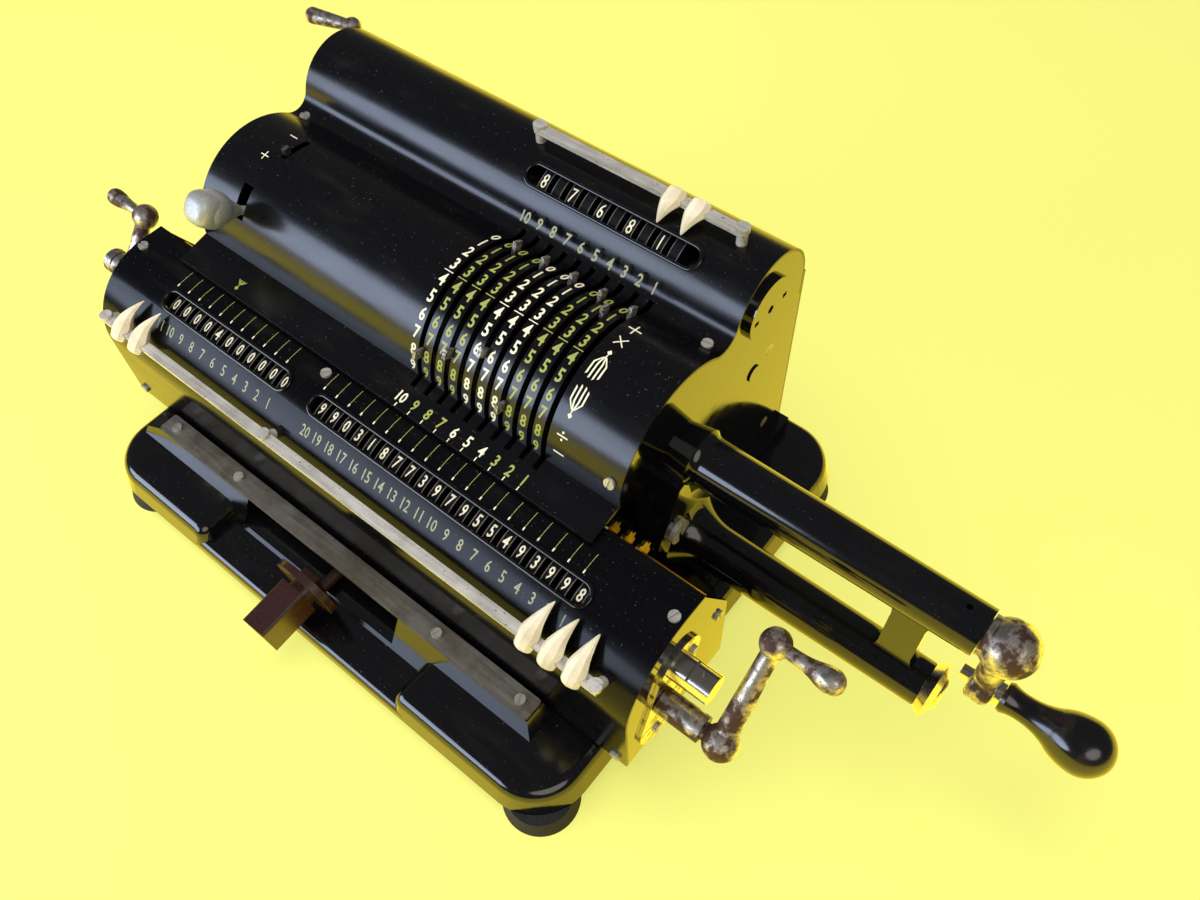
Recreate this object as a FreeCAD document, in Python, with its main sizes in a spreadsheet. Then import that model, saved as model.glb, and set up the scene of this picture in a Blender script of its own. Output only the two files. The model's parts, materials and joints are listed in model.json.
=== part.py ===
import FreeCAD, Part
import math
import os

import Sketcher
from FreeCAD import Placement, Rotation, Vector

# Pinwheel calculator. +X is the crank side, +Y the rear, +Z up, millimetres, resting on Z = 0.
# The column datum is the middle of the ten setting columns. Places along X and Y whose names do
# not say otherwise are counted from it, and heights are counted from the table.
SIZES = [
    # Columns and datum
    ("datum_x", -14.5, "column datum from the origin, along X"),
    ("datum_y", 4.6, "column datum from the origin, along Y"),
    ("column_pitch", 8.0, "spacing of levers, pinwheels and numeral wheels"),
    ("first_lever_x", -31.0, "plane of the lever furthest left"),
    ("digit_step", 12.0, "turn of a setting lever for one digit, degrees"),
    ("lever_zero_angle", 62.5, "lever direction at nought, degrees from +Y towards +Z"),
    # Body
    ("body_left", -181.6, "outer face of the left side plate"),
    ("body_right", 81.2, "outer face of the right side plate"),
    ("plate_thickness", 3.0, "side plates"),
    ("cover_thickness", 1.2, "sheet of the top and carriage covers"),
    ("seat_height", 32.0, "top of the casting's seat for the body"),
    ("drum_y", 22.8, "drum axis"),
    ("drum_height", 112.0, "drum axis above the table"),
    ("cover_radius", 41.5, "cover over the drum, outside"),
    ("lobe_y", 86.3, "centre of the cover's rear lobe"),
    ("lobe_height", 142.0, "centre of the rear lobe above the table"),
    ("lobe_radius", 26.7, "rear lobe, outside"),
    ("valley_radius", 9.0, "hollow between drum cover and rear lobe"),
    ("apron_front", -36.8, "front edge of the cover's apron"),
    ("apron_lift", 1.5, "gap between the carriage and the apron above it"),
    ("fold_rise", 2.0, "where the apron meets the drum cover, above the drum axis"),
    ("skirt_drop", 14.0, "lower rear edge of the top cover, below the lobe's centre"),
    ("plate_front", -5.5, "front edge of the side plates"),
    ("rear_panel_thickness", 1.4, "rear panel"),
    ("rear_panel_drop", 1.0, "top of the rear panel below the lobe's centre"),
    # Slots and windows of the top cover
    ("slot_width", 2.8, "setting slots"),
    ("slot_top_angle", 43.0, "upper end of the setting slots, degrees"),
    ("slot_front_angle", 185.0, "front end of the setting slots, degrees"),
    ("sign_lever_x", -148.0, "plane of the counter's sign lever"),
    ("sign_lever_angle", 93.0, "sign lever at plus, degrees"),
    ("sign_lever_travel", 14.0, "sign lever from plus to minus, degrees"),
    ("knob_x", -154.4, "plane of the setting clear knob"),
    ("knob_angle", 142.0, "direction of the clear knob, degrees"),
    ("knob_travel", 12.0, "travel of the clear knob, degrees"),
    ("knob_reach", 58.5, "widest part of the clear knob from the drum axis"),
    ("knob_radius", 9.2, "widest part of the clear knob"),
    ("check_window_angle", 124.5, "direction of the check window from the lobe's centre, degrees"),
    ("window_width", 8.8, "height of the numeral windows along the sheet"),
    ("rim_width", 1.8, "raised rim round each numeral window"),
    ("rim_height", 0.8, "how far that rim stands up"),
    # Drum
    ("shaft_radius", 6.5, "main shaft"),
    ("running_gap", 0.05, "radial gap of a shaft in its bearing"),
    ("pinwheel_radius", 36.5, "pinwheel discs"),
    ("pinwheel_width", 3.2, "pinwheel discs along the shaft"),
    ("pin_reach", 39.4, "ends of the pins from the drum axis"),
    ("pin_radius", 1.1, "pins"),
    ("lever_reach", 45.4, "lever tips from the drum axis"),
    ("lever_width", 1.8, "lever plates along the shaft"),
    ("lever_ring_radius", 33.0, "setting ring of a lever"),
    ("lever_tab", 4.6, "length of a lever's finger tab"),
    ("sleeve_radius", 9.0, "bearing sleeve that carries the sign lever and the clear knob"),
    # Check dials
    ("check_back", -4.0, "check dial shaft from the lobe's centre, towards the rear"),
    ("check_rise", 3.3, "check dial shaft above the lobe's centre"),
    ("check_shaft_radius", 4.0, "check dial shaft"),
    ("check_dial_radius", 19.2, "check dials"),
    ("check_dial_width", 5.0, "check dials along the shaft"),
    ("cap_radius", 15.2, "bearing cap on the right side plate"),
    ("cap_thickness", 2.6, "bearing cap"),
    ("check_knuckle_back", 21.7, "knuckle of the check clearing lever, behind the check shaft"),
    ("check_knuckle_rise", 15.2, "knuckle of the check clearing lever, above the check shaft"),
    # Base
    ("base_left", -198.0, "foot of the base casting's walls"),
    ("base_right", 119.2, "foot of the base casting's walls"),
    ("base_front", -121.6, "foot of the base casting's walls"),
    ("base_rear", 128.4, "foot of the base casting's walls"),
    ("base_bottom", 8.0, "underside of the casting above the table"),
    ("rim_top", 23.0, "top of the casting's rim"),
    ("base_corner", 28.0, "corners of the casting, seen from above"),
    ("wall_draft", 14.0, "slope of the casting's walls from upright, degrees"),
    ("rim_rounding", 7.0, "rounding of the rim"),
    ("seat_front", -7.0, "front of the body's seat"),
    ("seat_margin", 4.4, "how far the seat stands out round the body"),
    ("rail_rear", -80.0, "rear of the front guide rail"),
    ("rail_width", 11.0, "top of the front guide rail"),
    ("rail_foot", 10.0, "how far the rail's front slopes out at its foot"),
    ("rail_left", -176.0, "left end of the rail and its strip"),
    ("rail_right", 85.0, "right end of the rail and its strip"),
    ("rail_top", 31.0, "top of the guide rail above the table"),
    ("strip_thickness", 1.6, "steel strip on the rail"),
    ("dip_left", -110.0, "left end of the low middle of the front rim"),
    ("dip_right", 22.0, "right end of the low middle of the front rim"),
    ("dip_depth", 9.0, "how much lower the middle of the front rim is"),
    ("dip_rounding", 4.5, "rounding of that low middle"),
    ("shoulder_drop", 3.5, "left shoulder of the rail below its top"),
    ("base_wall", 7.0, "walls of the hollow casting"),
    ("foot_radius", 18.0, "rubber feet"),
    ("foot_left", -170.4, "left feet"),
    ("foot_right", 103.2, "right feet"),
    ("foot_front", -106.0, "front feet"),
    ("foot_rear", 102.4, "rear feet"),
    # Arm bracket and crank
    ("flange_thickness", 11.8, "foot of the arm bracket, along the shaft"),
    ("arm_root_radius", 11.4, "arms at their foot"),
    ("arm_tip_radius", 10.4, "arms at their outer ends"),
    ("root_flare", 7.0, "how far the lower arm flares out at its foot"),
    ("tube_flare", 2.0, "how far the shaft tube flares out at its foot"),
    ("tube_end", 221.8, "outer end of the shaft tube"),
    ("rest_reach", 54.8, "lower arm from the drum axis"),
    ("rest_tilt", -4.8, "lower arm from straight down towards the rear, degrees"),
    ("rest_end", 213.0, "outer end of the lower arm"),
    ("web_left", 184.0, "web between the arms"),
    ("web_right", 209.0, "web between the arms"),
    ("cone_rim", 4.2, "rim of the rest cone from the end of the arm"),
    ("cone_length", 8.4, "rest cone along the shaft"),
    ("cone_radius", 13.0, "rest cone"),
    ("crank_x", 231.9, "plane of the main crank"),
    ("crank_ball", 11.6, "hub ball of the main crank"),
    ("crank_length", 54.2, "main crank from hub to handle"),
    ("crank_tilt", 10.9, "main crank from straight down towards the rear, degrees"),
    ("eye_radius", 8.8, "eye of the main crank"),
    ("eye_width", 11.0, "eye along the shaft"),
    ("spindle_radius", 3.2, "locking pin and handle spindle"),
    ("pin_gap", 0.6, "play between the locking pin's tip and the rest cone"),
    ("handle_start", 240.6, "inner end of the grip"),
    ("handle_bulb", 275.3, "widest place of the grip"),
    ("handle_end", 288.0, "outer end of the grip"),
    ("bulb_radius", 12.5, "grip at its widest"),
    ("neck_radius", 7.2, "grip at its inner end"),
    ("waist_radius", 5.9, "grip at its narrowest"),
    # Carriage
    ("carriage_left", -212.0, "left end of the carriage"),
    ("carriage_right", 130.4, "right end of the carriage"),
    ("nose_radius", 40.0, "front curve of the carriage cover"),
    ("nose_y", -38.0, "centre of that curve"),
    ("nose_height", 67.5, "centre of that curve above the table"),
    ("carriage_rear", -26.4, "rear edge of the carriage cover"),
    ("carriage_bottom", 25.0, "lower edge of the carriage"),
    ("end_plate_thickness", 2.4, "end plates of the carriage"),
    ("end_plate_rear", -8.0, "rear edge of the end plates"),
    ("end_plate_shoulder", 74.0, "height of the end plates' rear corner"),
    ("dial_y", -46.0, "numeral wheels' shaft"),
    ("dial_height", 80.0, "numeral wheels' shaft above the table"),
    ("dial_radius", 22.0, "numeral wheels"),
    ("dial_width", 5.0, "numeral wheels along the shaft"),
    ("dial_shaft_radius", 4.0, "numeral wheels' shafts"),
    ("product_first_x", -62.6, "leftmost wheel of the product register"),
    ("counter_first_x", -168.2, "leftmost wheel of the revolution counter"),
    ("window_angle", 114.4, "direction of the numeral windows from the nose's centre, degrees"),
    ("transfer_reach", 49.2, "transfer gears' rod from the drum axis"),
    ("transfer_radius", 8.0, "transfer gears"),
    ("collar_radius", 6.7, "slotted collars on the numeral shafts"),
    ("collar_length", 19.6, "how far those collars stand out"),
    ("clear_y", -56.0, "clearing cranks' shaft"),
    ("clear_height", 62.4, "clearing cranks' shaft above the table"),
    ("clear_barrel_radius", 6.2, "clearing cranks' bearing barrel"),
    ("clear_barrel", 22.8, "how far that barrel stands out"),
    ("clear_left_plane", 16.5, "left clearing crank from the carriage's end"),
    ("clear_left_length", 31.5, "how far the left crank's hub stands out"),
    ("clear_ball", 8.0, "hub ball of a clearing crank"),
    ("clear_knuckle", 6.6, "outer ball of a clearing crank"),
    ("clear_knuckle_y", -23.5, "outer ball of a clearing crank"),
    ("clear_knuckle_height", 101.0, "outer ball of a clearing crank above the table"),
    ("clear_handle", 30.5, "handle of a clearing crank"),
    ("guide_rod_y", -42.0, "rear rail that the carriage rides on"),
    ("guide_rod_height", 46.0, "rear rail above the table"),
    ("guide_rod_radius", 5.0, "rear rail"),
    ("guide_rod_left", -168.0, "left end of the rear rail"),
    ("guide_rod_right", 68.0, "right end of the rear rail"),
    ("travel_left", 48.0, "carriage travel to the left of its present place"),
    ("travel_right", 32.0, "carriage travel to the right of its present place"),
    ("register_plate_radius", 14.5, "ends of the oval bearing plates"),
    ("register_plate_thickness", 1.6, "oval bearing plates"),
    # Shift knob
    ("shift_x", -41.5, "shift knob"),
    ("stem_height", 21.6, "stem of the shift knob above the table"),
    ("stem_radius", 3.0, "stem of the shift knob"),
    ("shift_flange_y", -106.5, "flange of the shift knob"),
    ("shift_flange_height", 32.4, "flange of the shift knob above the table"),
    ("shift_flange_radius", 17.4, "flange of the shift knob"),
    ("grip_width", 14.6, "grip of the shift knob, along the rail"),
    ("grip_height", 20.6, "grip of the shift knob"),
    ("grip_start", 7.0, "inner end of the grip from the flange"),
    ("grip_length", 25.5, "grip of the shift knob"),
    ("grip_neck", 7.2, "round neck between flange and grip"),
    ("grip_tilt", -5.0, "rise of the grip towards the front, degrees"),
    # Pointer rails
    ("lower_rail_angle", 149.06, "pointer rail of the carriage from the nose's centre, degrees"),
    ("lower_rail_stand", 5.7, "that rail above the carriage cover"),
    ("lower_rail_left", -201.0, "left end of that rail"),
    ("lower_rail_right", 117.4, "right end of that rail"),
    ("upper_rail_stand", 6.3, "pointer rail of the top cover above that cover"),
    ("upper_rail_left", -46.0, "left end of that rail"),
    ("upper_rail_right", 65.5, "right end of that rail"),
    ("pointer_rail_width", 5.0, "pointer rails"),
    ("pointer_rail_thickness", 2.4, "pointer rails"),
    ("pointer_width", 10.0, "pointers along their rail"),
    ("pointer_gap", 0.15, "play of a pointer on its rail"),
    ("lower_tip_angle", 125.0, "tips of the carriage's pointers from the nose's centre, degrees"),
    ("lower_tip_stand", 2.64, "those tips above the carriage cover"),
    ("upper_tip_angle", 112.4, "tips of the check pointers from the lobe's centre, degrees"),
    ("upper_tip_stand", 1.6, "those tips above the top cover"),
    # Screws
    ("screw_radius", 2.6, "heads of the small slotted screws"),
    ("screw_head", 1.3, "height of those heads"),
    ("screw_shank", 1.4, "shanks of the small screws"),
    ("screw_depth", 4.0, "how deep the shanks go"),
]

SETTINGS = [8, 0, 7, 0, 6, 0, 8, 0, 1, 0]       # digits set, from the left
PRODUCT_WHEELS = 20
COUNTER_WHEELS = 11


class Size:
    """A length or angle: its number, and the expression that binds it to the sheet."""

    def __init__(self, value, text=None):
        self.value = value
        self.text = text if text is not None else repr(value)

    def __add__(self, other):
        other = as_size(other)
        return Size(self.value + other.value, f"({self.text} + {other.text})")

    def __sub__(self, other):
        other = as_size(other)
        return Size(self.value - other.value, f"({self.text} - {other.text})")

    def __mul__(self, other):
        other = as_size(other)
        return Size(self.value * other.value, f"{self.text} * {other.text}")

    def __truediv__(self, other):
        other = as_size(other)
        return Size(self.value / other.value, f"({self.text} / ({other.text}))")

    def __neg__(self):
        return Size(-self.value, f"(-1 * {self.text})")

    def __radd__(self, other):
        return as_size(other) + self

    def __rsub__(self, other):
        return as_size(other) - self

    def __rmul__(self, other):
        return as_size(other) * self


def as_size(value):
    return value if isinstance(value, Size) else Size(value)


def root(size):
    return Size(math.sqrt(size.value), f"sqrt({size.text})")


def cosine(angle):
    angle = as_size(angle)
    return Size(math.cos(math.radians(angle.value)), f"cos({angle.text})")


def sine(angle):
    angle = as_size(angle)
    return Size(math.sin(math.radians(angle.value)), f"sin({angle.text})")


class Sheet:
    """The spreadsheet of driving sizes. S.name gives one as a Size."""

    def __init__(self, document):
        self.cells = document.addObject("Spreadsheet::Sheet", "Sizes")
        self.worked = document.addObject("Spreadsheet::Sheet", "Worked")
        self.rows = 0
        for row, (alias, value, note) in enumerate(SIZES, start=1):
            self.cells.set(f"A{row}", str(value))
            self.cells.setAlias(f"A{row}", alias)
            self.cells.set(f"B{row}", note)
            setattr(self, alias, Size(value, f"Sizes.{alias}"))

    def keep(self, alias, size):
        """Store a worked-out size in a cell of its own, so that expressions stay short."""
        self.rows += 1
        self.worked.set(f"A{self.rows}", "=" + size.text)
        self.worked.setAlias(f"A{self.rows}", alias)
        return Size(size.value, f"Worked.{alias}")


doc = FreeCAD.newDocument("PinwheelCalculator")
S = Sheet(doc)
X0 = S.datum_x
Y0 = S.datum_y
NODES = {}

DOWN_X = Rotation(Vector(0, 1, 0), 90)          # a rod's own Z turned to +X
DOWN_Y = Rotation(Vector(1, 0, 0), -90)         # a rod's own Z turned to +Y
UPRIGHT = Rotation()


def turn_to(turn):
    """A rotation from an axis letter, or the rotation itself."""
    return {"X": DOWN_X, "Y": DOWN_Y, "Z": UPRIGHT}[turn] if isinstance(turn, str) else turn


# ---------------------------------------------------------------- helpers

def place(item, x, y, z, turn=UPRIGHT):
    """Bind an object's position to the sheet and give it its direction."""
    spot = [as_size(value) for value in (x, y, z)]
    item.Placement = Placement(Vector(*[value.value for value in spot]), turn)
    for letter, value in zip("xyz", spot):
        item.setExpression(f"Placement.Base.{letter}", value.text)
    return item


def bind(item, **sizes):
    """Set numeric properties of an object from Sizes and bind them."""
    for name, size in sizes.items():
        size = as_size(size)
        setattr(item, name, size.value)
        item.setExpression(name, size.text)
    return item


def rod(name, radius, length, x, y, z, turn="X"):
    item = bind(doc.addObject("Part::Cylinder", name), Radius=radius, Height=length)
    return place(item, x, y, z, turn_to(turn))


def cone(name, start_radius, end_radius, length, x, y, z, turn="X"):
    item = bind(doc.addObject("Part::Cone", name), Radius1=start_radius, Radius2=end_radius, Height=length)
    return place(item, x, y, z, turn_to(turn))


def ball(name, radius, x, y, z):
    return place(bind(doc.addObject("Part::Sphere", name), Radius=radius), x, y, z)


def block(name, xs, ys, zs):
    """A box from its two X, two Y and two Z limits."""
    (x0, x1), (y0, y1), (z0, z1) = [[as_size(v) for v in pair] for pair in (xs, ys, zs)]
    item = bind(doc.addObject("Part::Box", name), Length=x1 - x0, Width=y1 - y0, Height=z1 - z0)
    return place(item, x0, y0, z0)


def join(name, items):
    item = doc.addObject("Part::MultiFuse", name)
    item.Shapes = items
    item.Refine = True
    return item


def cut(name, base, tools):
    tool = tools[0] if len(tools) == 1 else join(name + "_tools", tools)
    item = doc.addObject("Part::Cut", name)
    item.Base = base
    item.Tool = tool
    return item


def common(name, first, second):
    item = doc.addObject("Part::Common", name)
    item.Base = first
    item.Tool = second
    return item


def gather(name, items):
    item = doc.addObject("Part::Compound", name)
    item.Links = items
    return item


def node(label, item):
    """Name a finished sub-part. Its label is the name of its file."""
    item.Label = label
    NODES[label] = item
    return item


def sketch_on(body, name, plane, offset, points):
    """A fully bound closed outline. A point is (u, v), or (u, v, radius) where a counter-clockwise
    arc reaches it, or (u, v, -radius) where a clockwise one does. Arcs are under half a turn."""
    sketch = body.newObject("Sketcher::SketchObject", name)
    support = [item for item in body.Origin.OriginFeatures if item.Role == plane + "_Plane"][0]
    sketch.AttachmentSupport = [(support, "")]
    sketch.MapMode = "FlatFace"
    offset = as_size(offset)
    sketch.AttachmentOffset = Placement(Vector(0, 0, offset.value), Rotation())
    sketch.setExpression("AttachmentOffset.Base.z", offset.text)
    points = [[as_size(value) for value in point] for point in points]
    joints = []
    for index, point in enumerate(points):
        before = points[index - 1]
        start, end = [Vector(p[0].value, p[1].value, 0) for p in (before, point)]
        if len(point) == 2:
            sketch.addGeometry(Part.LineSegment(start, end))
            joints.append((1, 2))
            continue
        radius = abs(point[2].value)
        left = point[2].value > 0
        span = end - start
        rise = math.sqrt(max(radius ** 2 - span.Length ** 2 / 4, 0))
        side = Vector(-span.y, span.x, 0).normalize() * (rise if left else -rise)
        centre = (start + end) / 2 + side
        first, last = (start, end) if left else (end, start)
        angles = [math.atan2(p.y - centre.y, p.x - centre.x) for p in (first, last)]
        sketch.addGeometry(Part.ArcOfCircle(Part.Circle(centre, Vector(0, 0, 1), radius), *angles))
        joints.append((1, 2) if left else (2, 1))
    rules = []
    bindings = []
    for index, point in enumerate(points):
        after = (index + 1) % len(points)
        rules.append(Sketcher.Constraint("Coincident", index, joints[index][1], after, joints[after][0]))
        for kind, size in (("DistanceX", point[0]), ("DistanceY", point[1])):
            bindings.append((len(rules), size.text))
            rules.append(Sketcher.Constraint(kind, -1, 1, index, joints[index][1], size.value))
        if len(point) == 3:
            text = point[2].text if point[2].value > 0 else f"(-1 * {point[2].text})"
            bindings.append((len(rules), text))
            rules.append(Sketcher.Constraint("Radius", index, abs(point[2].value)))
    sketch.addConstraint(rules)
    for number, text in bindings:
        sketch.setExpression(f"Constraints[{number}]", text)
    return sketch


def padded(name, plane, points, start, length):
    """A body padded from one outline, from a start along the plane's normal."""
    body = doc.addObject("PartDesign::Body", name)
    sketch = sketch_on(body, name + "_outline", plane, start, points)
    pad = body.newObject("PartDesign::Pad", name + "_pad")
    pad.Profile = sketch
    bind(pad, Length=length)
    return body


def turned(name, points, x, y, z, turn=UPRIGHT):
    """A body turned about its own X axis from an outline of (distance along X, radius)."""
    body = doc.addObject("PartDesign::Body", name)
    sketch = sketch_on(body, name + "_section", "XY", 0, points)
    spin = body.newObject("PartDesign::Revolution", name + "_turning")
    spin.Profile = sketch
    spin.ReferenceAxis = (sketch, ["H_Axis"])
    spin.Angle = 360
    return place(body, x, y, z, turn)


def pocket(body, name, plane, points, start, depth, reverse=False, both=False):
    sketch = sketch_on(body, name + "_outline", plane, start, points)
    hole = body.newObject("PartDesign::Pocket", name)
    hole.Profile = sketch
    hole.Reversed = reverse
    hole.Midplane = both
    bind(hole, Length=depth)
    return hole


def repeat_along_x(body, name, feature, pitch, count):
    """Repeat a body's feature in a row along X."""
    pattern = body.newObject("PartDesign::LinearPattern", name)
    pattern.Originals = [feature]
    axis = [item for item in body.Origin.OriginFeatures if item.Role == "X_Axis"][0]
    pattern.Direction = (axis, [""])
    bind(pattern, Length=pitch * (count - 1))
    pattern.Occurrences = count
    body.Tip = pattern
    return pattern


def rounded_rectangle(u0, u1, v0, v1, r):
    return [(u1 - r, v0), (u1, v0 + r, r), (u1, v1 - r), (u1 - r, v1, r),
            (u0 + r, v1), (u0, v1 - r, r), (u0, v0 + r), (u0 + r, v0, r)]


def stadium(name, x0, x1, half_width, depth, y, z, angle):
    """A slot-shaped solid from x0 to x1 between its end centres, through (y, z), whose own Z
    points at an angle from +Y towards +Z."""
    r = as_size(half_width)
    x0, x1 = as_size(x0), as_size(x1)
    far = x1 - x0
    points = [(far, -r), (far + r, 0, r), (far, r, r), (0, r), (-r, 0, r), (0, -r, r)]
    body = padded(name, "XY", points, -depth / 2, depth)
    angle = as_size(angle)
    return place(body, x0, y, z, Rotation(Vector(1, 0, 0), angle.value - 90))


def ring_sector(centre_y, centre_z, inner, outer, start_angle, end_angle):
    """An outline in the YZ plane between two radii and two angles."""
    def at(radius, angle):
        return centre_y + radius * cosine(angle), centre_z + radius * sine(angle)
    return [at(outer, start_angle), (*at(outer, end_angle), outer), at(inner, end_angle),
            (*at(inner, start_angle), -inner)]


def screws(spots, radius, head, shank, depth):
    """Slotted screws as separate solids. A spot is (x, y, z, outward direction)."""
    r, h, s, d = [as_size(value).value for value in (radius, head, shank, depth)]
    blank = Part.makeCylinder(r, h).fuse(Part.makeCylinder(s, d, Vector(0, 0, -d)))
    slot = Part.makeBox(3 * r, 0.36 * r, h, Vector(-1.5 * r, -0.18 * r, 0.5 * h))
    screw = blank.cut(slot)
    shapes = []
    for number, (x, y, z, outward) in enumerate(spots):
        copy = screw.copy()
        copy.rotate(Vector(0, 0, 0), Vector(0, 0, 1), 37 * number)
        where = Vector(*[as_size(value).value for value in (x, y, z)])
        copy.Placement = Placement(where, Rotation(Vector(0, 0, 1), outward)) * copy.Placement
        shapes.append(copy)
    item = doc.addObject("Part::Feature", "Screws")
    item.Shape = Part.makeCompound(shapes)
    return item


def facing(angle):
    """The direction in the YZ plane at an angle from +Y towards +Z."""
    value = math.radians(as_size(angle).value)
    return Vector(0, math.cos(value), math.sin(value))


# ---------------------------------------------------------------- places used by several pieces

drum_y = Y0 + S.drum_y
drum_z = S.drum_height
lobe_y = Y0 + S.lobe_y
lobe_z = S.lobe_height
check_y = lobe_y + S.check_back
check_z = lobe_z + S.check_rise
dial_y = Y0 + S.dial_y
dial_z = S.dial_height
clear_y = Y0 + S.clear_y
clear_z = S.clear_height
rest_y = drum_y + S.rest_reach * sine(S.rest_tilt)
rest_z = drum_z - S.rest_reach * cosine(S.rest_tilt)
nose_y = Y0 + S.nose_y
nose_z = S.nose_height
apron_top = nose_z + S.nose_radius + S.apron_lift + S.cover_thickness
skirt_bottom = lobe_z - S.skirt_drop
rear_panel_top = lobe_z - S.rear_panel_drop
body_left = X0 + S.body_left
body_right = X0 + S.body_right
carriage_left = X0 + S.carriage_left
carriage_right = X0 + S.carriage_right
shaft_bore = S.shaft_radius + S.running_gap
lower_rail = (nose_y + (S.nose_radius + S.lower_rail_stand) * cosine(S.lower_rail_angle),
              nose_z + (S.nose_radius + S.lower_rail_stand) * sine(S.lower_rail_angle))
upper_rail = (lobe_y, lobe_z + S.lobe_radius + S.upper_rail_stand)
lever_planes = [X0 + S.first_lever_x + S.column_pitch * k for k in range(10)]

# The hollow between the two lobes touches both circles. Its centre is where circles widened by
# its radius cross.
reach_one = S.cover_radius + S.valley_radius
reach_two = S.lobe_radius + S.valley_radius
lobe_dy = S.lobe_y - S.drum_y
lobe_dz = S.lobe_height - S.drum_height
lobe_gap = S.keep("lobe_gap", root(lobe_dy * lobe_dy + lobe_dz * lobe_dz))
along = S.keep("along",
               (reach_one * reach_one - reach_two * reach_two + lobe_gap * lobe_gap) / (lobe_gap * 2))
across = S.keep("across", root(reach_one * reach_one - along * along))
valley_dy = S.keep("valley_dy", (along * lobe_dy - across * lobe_dz) / lobe_gap)
valley_dz = S.keep("valley_dz", (along * lobe_dz + across * lobe_dy) / lobe_gap)
rise_dy = S.keep("rise_dy", valley_dy - lobe_dy)
rise_dz = S.keep("rise_dz", valley_dz - lobe_dz)


def cover_section(inset):
    """The top cover's outline points from its fold to its rear, at a depth below its outside."""
    drum_r = S.cover_radius - inset
    lobe_r = S.lobe_radius - inset
    fold_z = S.drum_height + S.fold_rise - inset
    drop = fold_z - S.drum_height
    fold_y = drum_y - root(drum_r * drum_r - drop * drop)
    first = (drum_y + valley_dy * drum_r / reach_one, drum_z + valley_dz * drum_r / reach_one)
    second = (lobe_y + rise_dy * lobe_r / reach_two, lobe_z + rise_dz * lobe_r / reach_two)
    return (fold_y, fold_z), first, second, (lobe_y + lobe_r, lobe_z)


# ---------------------------------------------------------------- base

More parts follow.
